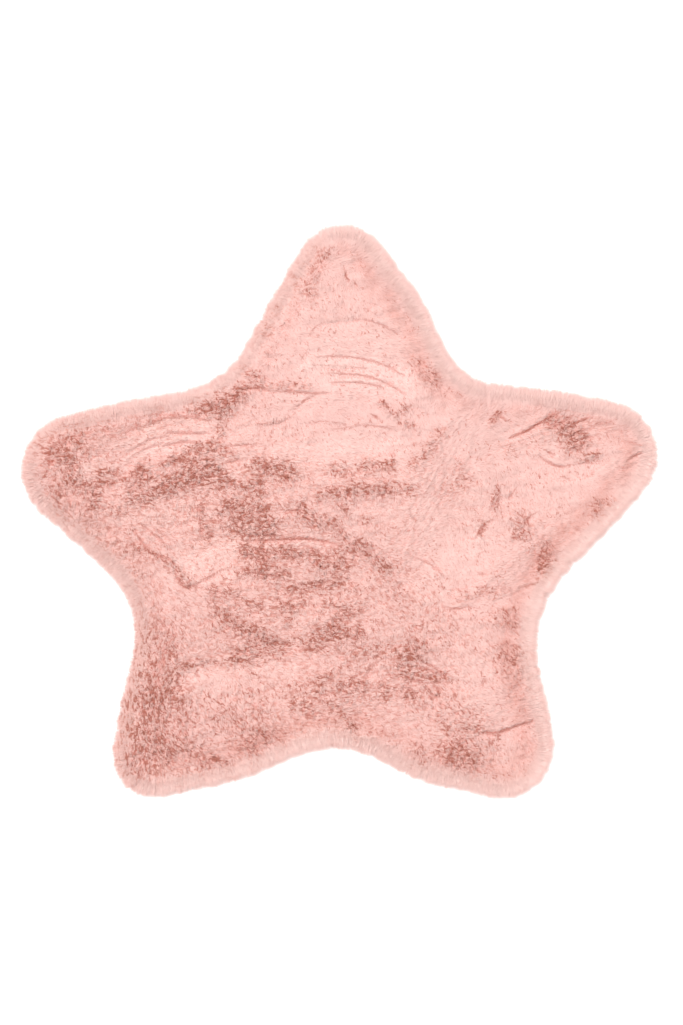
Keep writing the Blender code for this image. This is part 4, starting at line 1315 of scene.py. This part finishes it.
def joined_piece(name, corners, lit_as, faces, heights, tone, finish):
    """One joined mesh of locks, each with its own patch of the piece's map."""
    count, per_lock = corners.shape[:2]
    corners[..., 2] = np.maximum(corners[..., 2], FLOOR_GAP)
    flat = [corner for face in faces for corner in face]
    order = np.array([corner[0] for corner in flat])
    loops = (np.arange(count)[:, None] * per_lock + order).ravel()
    sizes = np.tile([len(face) for face in faces], count)
    mesh = bpy.data.meshes.new(name)
    mesh.vertices.add(count * per_lock)
    mesh.vertices.foreach_set("co", corners.ravel())
    mesh.loops.add(len(loops))
    mesh.loops.foreach_set("vertex_index", loops)
    mesh.polygons.add(len(sizes))
    mesh.polygons.foreach_set("loop_start", np.concatenate(([0], np.cumsum(sizes)[:-1])))
    mesh.polygons.foreach_set("use_smooth", np.ones(len(sizes), bool))
    mesh.update(calc_edges=True)
    mesh.normals_split_custom_set_from_vertices(lit_as)

    layers = {"up_lock": np.tile(heights, (count, 1)), **tone}
    for label, values in layers.items():
        mesh.attributes.new(label, "FLOAT", "POINT").data.foreach_set("value", values.ravel())

    across = math.ceil(math.sqrt(count))
    patch = np.column_stack((np.arange(count) % across, np.arange(count) // across))
    spot = np.array([corner[1:] for corner in flat])
    layout = (patch[:, None, :] + spot[None, :, :]) / across
    mesh.uv_layers.new(name="OFBake").data.foreach_set("uv", layout.ravel())
    mesh.materials.append(finish)
    piece = bpy.data.objects.new(name, mesh)
    bpy.context.scene.collection.objects.link(piece)
    return piece


def tone_of(places, stations, edge, creases, chance, loose=0.0):
    """How dark and how pale the pile is at each lock's corners, from the places along it.

    The darkness is painted shade in creases and inside the rim, with random tone; the paleness is painted
    light at the rim and where the pile lies flat, with random tone.
    """
    count, along = len(places[0]), len(places)
    points = np.stack(places, axis=1)[..., :2].reshape(-1, 2)
    ruffled = strength_of(RUFFLED, points)
    brushed = strength_of(FLAT, points)
    depth, gap, _, _ = beside_crease(creases, points)
    parted = depth * np.exp(-((gap / CREASE_WIDTH) ** 2))
    own = np.repeat(chance.normal(0, 1, count), along)
    beyond, outward = edge.beyond(points)
    at_rim = np.clip(1 + beyond / RIM_PALE, 0, 1)
    painted_side = outward @ direction(RIM_PAINTED_SIDE)
    inner = 1 - (RIM_CALM - RIM_CALM_SIDE * np.clip(-painted_side, 0, 1)) * at_rim
    # a band of painted shade inside the rim, stronger on the painted side
    rim_shade_band = np.exp(-(((beyond + RIM_SHADE_INSET) / RIM_SHADE_WIDTH) ** 2))
    rim_shade_band = rim_shade_band * (RIM_SHADE_ALL_ROUND + RIM_SIDE_SHADE * painted_side)
    dark = PARTED_DARK * parted * inner + RIM_SHADE * rim_shade_band + OWN_DARK * own
    dark += UNEVEN_DARK * ripples(points, UNEVEN_DARK_SIZE, 82)
    outermost = np.clip(beyond / RIM_GLOW_REACH, 0, 1)
    pale = FLAT_PALE * brushed + (RIM_PALENESS + RIM_SIDE_LIGHT * painted_side) * at_rim**2 + OWN_PALE * own
    tone = {
        "ruffled": ruffled * inner * (1 + OWN_RUFFLED * own),
        "dark": dark,
        "curly": strength_of(CURLY, points) * inner,
        "loose": loose * (RIM_GLOW_ALL_ROUND + RIM_GLOW_SIDE * painted_side) * outermost,
        "pale": pale,
    }
    for label, values in tone.items():
        tone[label] = np.clip(values, 0, 1).reshape(count, along)[:, stations]
    for label, values in combed(places[0][:, :2]).items():
        tone[label] = np.repeat(values[:, None], len(stations), axis=1)
    return tone


class Finish:
    """A new material, with short ways to add and join its nodes."""

    def __init__(self, name, roughness):
        self.material = bpy.data.materials.new(name)
        self.material.use_nodes = True
        self.nodes, self.links = self.material.node_tree.nodes, self.material.node_tree.links
        self.shader = self.nodes["Principled BSDF"]
        self.shader.inputs["Roughness"].default_value = roughness

    def attribute(self, name):
        node = self.nodes.new("ShaderNodeAttribute")
        node.attribute_name = name
        return node.outputs["Fac"]

    def feed(self, socket, value):
        """Sets a node's input to a value, or joins another node's output to it."""
        if isinstance(value, bpy.types.NodeSocket):
            self.links.new(value, socket)
        else:
            socket.default_value = value

    def from_above(self, stretch, angle=0.0, shift=(0.0, 0.0)):
        """Places as seen from above, for a pattern that is stretched in the direction of the angle."""
        where = self.nodes.new("ShaderNodeTexCoord")
        level = self.nodes.new("ShaderNodeMapping")
        level.vector_type = "TEXTURE"
        level.inputs["Location"].default_value = (*shift, 0)
        level.inputs["Rotation"].default_value = (0, 0, angle)
        level.inputs["Scale"].default_value = (stretch, 1, UPRIGHT_STRETCH)
        self.links.new(where.outputs["Object"], level.inputs["Vector"])
        return level.outputs["Vector"]

    def noise(self, places, size, detail, distortion):
        node = self.nodes.new("ShaderNodeTexNoise")
        node.inputs["Scale"].default_value = 1 / size
        node.inputs["Detail"].default_value = detail
        node.inputs["Distortion"].default_value = distortion
        self.links.new(places, node.inputs["Vector"])
        return node.outputs["Fac"]

    def ramp(self, value, *stops):
        """A colour or a grey for each value, from (value, colour) pairs."""
        node = self.nodes.new("ShaderNodeValToRGB")
        elements = node.color_ramp.elements
        for _ in stops[2:]:
            elements.new(0.5)
        for element, (position, _) in zip(elements, stops):
            element.position = position
        for element, (_, colour) in zip(elements, stops):
            shade = colour if isinstance(colour, tuple) else (colour, colour, colour)
            element.color = (*shade, 1)
        self.links.new(value, node.inputs["Fac"])
        return node.outputs["Color"]

    def sum_of(self, *terms):
        """Adds terms, each a value and a share or another value to multiply it by."""
        total = None
        for value, share in terms:
            node = self.nodes.new("ShaderNodeMath")
            node.operation = "MULTIPLY" if total is None else "MULTIPLY_ADD"
            self.links.new(value, node.inputs[0])
            self.feed(node.inputs[1], share)
            if total is not None:
                self.links.new(total, node.inputs[2])
            total = node.outputs["Value"]
        node.use_clamp = True
        return total

    def mixed(self, kind, share, colour, other):
        """A colour mixed with another, which takes the share. Each is a value or an output."""
        node = self.nodes.new("ShaderNodeMix")
        node.data_type = "RGBA"
        node.blend_type = kind
        for number, value in ((0, share), (6, colour), (7, other)):
            self.feed(node.inputs[number], value)
        return node.outputs[2]

    def shaded(self, colour, deep):
        """The colour under painted shade: rosier at first, and darker after."""
        return self.mixed("MULTIPLY", 1.0, colour, self.ramp(deep, *SHADE_RAMP))

    def coloured(self, colour):
        self.links.new(colour, self.shader.inputs["Base Color"])

    def raised(self, height, depth):
        bump = self.nodes.new("ShaderNodeBump")
        bump.inputs["Strength"].default_value = 1.0
        bump.inputs["Distance"].default_value = depth
        self.links.new(height, bump.inputs["Height"])
        self.links.new(bump.outputs["Normal"], self.shader.inputs["Normal"])


def curl_pattern(finish, shift=(0.0, 0.0)):
    """Small curls, drawn out the way that the pile is combed."""
    drawn = []
    for name, angle in COMBINGS:
        places = finish.from_above(CURL_STRETCH, angle, shift)
        drawn.append((finish.noise(places, *CURL_GRAIN), finish.attribute(name)))
    return finish.sum_of(*drawn)


def tufts(finish):
    """The pile's finest form: painted shade between curls, painted highlights on their crests, and
    relief.

    A curl's side turned towards the painted light is painted paler and its other side darker, from the
    same pattern again, a step aside."""
    labels = ("ruffled", "curly", "dark", "pale")
    ruffled, curly, dark, pale = (finish.attribute(label) for label in labels)
    curls = curl_pattern(finish)
    beside = curl_pattern(finish, tuple(direction(PAINTED_LIGHT_FROM) * CURL_STEP))
    tips = finish.noise(finish.from_above(TIP_STRETCH), *TIP_GRAIN)
    patches = finish.noise(finish.from_above(1.0), *PATCH_GRAIN)
    hollow_shade = finish.ramp(curls, *HOLLOW_RAMP)
    crest_highlight = finish.ramp(curls, *CREST_RAMP)
    some = finish.ramp(patches, *PATCH_RAMP)
    marks = finish.sum_of((ruffled, 1.08), (curly, 0.20), (some, 0.06))
    raised = finish.sum_of((ruffled, 0.7), (curly, 0.4), (some, 0.12))
    painted_shade_side = finish.sum_of((finish.sum_of((curls, 5.5), (beside, -5.5)), raised))
    painted_lit_side = finish.sum_of((finish.sum_of((beside, 4.5), (curls, -4.5)), raised))
    # painted shade: ruffled pile, curl hollows, creases, the rim and curl sides turned from the painted
    # light, with random tone
    deep = finish.sum_of((ruffled, 0.24), (hollow_shade, marks), (dark, 1.0), (painted_shade_side, 1.0))
    lively = finish.sum_of((ruffled, 0.4), (curly, 0.1))
    # painted light: flat pile, the rim, curl crests and curl sides turned toward the painted light, with
    # random paleness
    light = finish.sum_of((pale, 1.0), (crest_highlight, lively), (painted_lit_side, 1.0))
    height = finish.sum_of((curls, raised), (tips, 0.14))
    return deep, light, height


def plush_finish():
    """Pile that is deeper pink at its foot, partly painted shade among the locks, pink at its tips, and
    dark rose with painted shade where it is ruffled; painted light makes it paler.
    """
    pile = Finish("pink_plush_pile", PILE_ROUGHNESS)
    pile.shader.inputs["Specular IOR Level"].default_value = PILE_SPECULAR
    pile.shader.inputs["Sheen Weight"].default_value = SHEEN
    pile.shader.inputs["Sheen Roughness"].default_value = SHEEN_ROUGHNESS
    pile.shader.inputs["Sheen Tint"].default_value = SHEEN_TINT
    deep, light, height = tufts(pile)
    colour = pile.ramp(pile.attribute("up_lock"), *PILE_RAMP)
    colour = pile.mixed("MIX", light, colour, (*PALE_PINK, 1))
    # painted light at the rim
    colour = pile.mixed("MIX", pile.attribute("loose"), colour, (*RIM_PINK, 1))
    pile.coloured(pile.shaded(colour, deep))
    pile.raised(height, CURL_HEIGHT)
    return pile.material


def bed_finish():
    """The foot of the pile between the locks: deep pink, partly painted shade, and darker with painted
    shade where it is ruffled or parted.
    """
    foot = Finish("pink_plush_foot", FOOT_ROUGHNESS)
    foot.shader.inputs["Specular IOR Level"].default_value = PILE_SPECULAR
    grain = foot.noise(foot.from_above(1.0), *FOOT_GRAIN)
    colour = foot.ramp(grain, *FOOT_RAMP)
    deep, _, height = tufts(foot)
    foot.coloured(foot.shaded(colour, deep))
    foot.raised(height, CURL_HEIGHT)
    return foot.material


def cloth_finish():
    """The plain knitted base cloth on the underside."""
    cloth = Finish("knitted_base_cloth", CLOTH_ROUGHNESS)
    where = cloth.nodes.new("ShaderNodeTexCoord")
    wales = cloth.nodes.new("ShaderNodeTexWave")
    wales.inputs["Scale"].default_value = WALE_SCALE
    wales.inputs["Distortion"].default_value = WALE_WAVER
    wales.inputs["Detail"].default_value = 2
    cloth.links.new(where.outputs["Object"], wales.inputs["Vector"])
    shade = tuple(WALE_SHADE * part for part in BASE_CLOTH)
    cloth.coloured(cloth.ramp(wales.outputs["Fac"], (0.0, shade), (1.0, BASE_CLOTH)))
    cloth.raised(wales.outputs["Fac"], WALE_HEIGHT)
    return cloth.material


def finish_bed(bed, creases):
    """The bed's pile side in pink, and its flat underside in base cloth."""
    bed.data.materials.clear()
    bed.data.materials.append(bed_finish())
    bed.data.materials.append(cloth_finish())
    for face in bed.data.polygons:
        face.material_index = 1 if face.normal.z < -0.9 else 0
    points = np.array([vert.co[:2] for vert in bed.data.vertices])
    depth, gap, _, _ = beside_crease(creases, points)
    # painted shade along the creases
    parted = depth * np.exp(-((gap / PARTED_WIDTH) ** 2))
    ruffled, curly = strength_of(RUFFLED, points), strength_of(CURLY, points)
    tone = {"ruffled": ruffled, "curly": curly, "dark": parted, **combed(points)}
    for label, values in tone.items():
        bed.data.attributes.new(label, "FLOAT", "POINT").data.foreach_set("value", values)


# (part of the star, from this angle in degrees seen from the middle, to this one)
ARMS = (
    ("top_arm", 49, 130),
    ("left_arm", 130, 203),
    ("left_leg", 203, 269),
    ("right_leg", 269, 336),
    ("right_arm", 336, 409),
)


STRIP_WIDTH = 0.006


def place_order(feet):
    """Locks sorted strip by strip, so that neighbours in the piece's map are neighbours on the rug."""
    strip = np.floor(feet[:, 1] / STRIP_WIDTH)
    along = np.where(strip % 2, feet[:, 0], -feet[:, 0])
    return np.lexsort((along, strip))


def leaf_piece(name, locks, tone, finish):
    return joined_piece(name, *leaf_corners(*locks), LEAF_FACES, LEAF_HEIGHTS, tone, finish)


def make_pile(bed, edge, creases):
    """The pile over the bed: the locks of each arm and leg, of the creases and curls, and of the rim."""
    tree = BVHTree.FromObject(bed, bpy.context.evaluated_depsgraph_get())
    low, high = edge.points.min(axis=0), edge.points.max(axis=0)
    finish = plush_finish()
    chance = np.random.default_rng(91)
    locks = top_locks(tree, low, high, edge, creases)
    order = place_order(locks[0])
    locks = [values[order] for values in locks]
    angle = np.degrees(np.arctan2(locks[0][:, 1], locks[0][:, 0]))
    pieces = []
    for arm, start, end in ARMS:
        mine = (angle - start) % 360 < end - start
        own = [values[mine] for values in locks]
        tone = tone_of(own[:3], LEAF_STATIONS, edge, creases, chance)
        pieces.append(leaf_piece(f"{arm}_locks", own, tone, finish))
    shaded = (
        ("crease_shade_locks", crease_shade_locks(tree, creases)),
        ("curl_shade_locks", curl_shade_locks(tree, low, high, edge)),
    )
    for name, (*own, shade) in shaded:
        tone = {"dark": np.repeat(shade[:, None], len(LEAF_HEIGHTS), axis=1)}
        pieces.append(leaf_piece(name, own, tone, finish))
    rim = rim_locks(edge)
    tone = tone_of(rim[:3], LEAF_STATIONS, edge, creases, chance, RIM_GLOW_LOCKS)
    pieces.append(leaf_piece("rim_locks", rim, tone, finish))
    hairs = fringe_hairs(edge)
    tone = tone_of(hairs[:2], HAIR_STATIONS, edge, creases, chance, RIM_GLOW_HAIRS)
    corners = hair_corners(*hairs)
    pieces.append(joined_piece("fringe_hairs", *corners, HAIR_FACES, HAIR_HEIGHTS, tone, finish))
    return pieces


def make_floor():
    bpy.ops.object.select_all(action="DESELECT")
    bpy.ops.mesh.primitive_plane_add(size=FLOOR_SIZE, location=(0, 0, 0))
    floor = bpy.context.object
    floor.name = "floor"
    material = bpy.data.materials.new("pale_floor")
    material.use_nodes = True
    shader = material.node_tree.nodes["Principled BSDF"]
    shader.inputs["Base Color"].default_value = FLOOR_GREY
    shader.inputs["Roughness"].default_value = 0.9
    shader.inputs["Specular IOR Level"].default_value = 0.1
    floor.data.materials.append(material)


def make_light(name, place, size, power):
    data = bpy.data.lights.new(name, "AREA")
    data.shape = "DISK"
    data.size = size
    data.energy = power
    light = bpy.data.objects.new(name, data)
    light.location = place
    light.rotation_euler = (-Vector(place)).to_track_quat("-Z", "Y").to_euler()
    bpy.context.scene.collection.objects.link(light)


def make_studio():
    """Soft light from the upper left, as the rug's shading shows."""
    for light in LIGHTS:
        make_light(*light)
    world = bpy.data.worlds.new("studio")
    world.use_nodes = True
    sky = world.node_tree.nodes["Background"]
    sky.inputs["Color"].default_value = SKY_WHITE
    sky.inputs["Strength"].default_value = SKY_STRENGTH
    bpy.context.scene.world = world
    bpy.context.scene.view_settings.view_transform = "Standard"


def make_camera():
    """Straight above the rug, as in the photo."""
    data = bpy.data.cameras.new("camera")
    data.lens = CAMERA_LENS
    data.sensor_width = SENSOR
    data.sensor_fit = "VERTICAL"
    data.sensor_height = SENSOR
    frame_height = PHOTO_SIZE[1] * PIXEL
    x, y = from_photo(PHOTO_SIZE[0] / 2, PHOTO_SIZE[1] / 2)
    camera = bpy.data.objects.new("camera", data)
    camera.location = (x, y, BED_TOP + CAMERA_LENS / SENSOR * frame_height)
    data.clip_end = CAMERA_REACH
    bpy.context.scene.collection.objects.link(camera)
    bpy.context.scene.camera = camera


make_camera()
make_floor()
make_studio()
creases = crease_points()
plush_bed, edge = make_bed(creases)
finish_bed(plush_bed, creases)
lock_pieces = make_pile(plush_bed, edge, creases)
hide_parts("star_rug")
for piece in (plush_bed, *lock_pieces):
    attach(piece, "root")
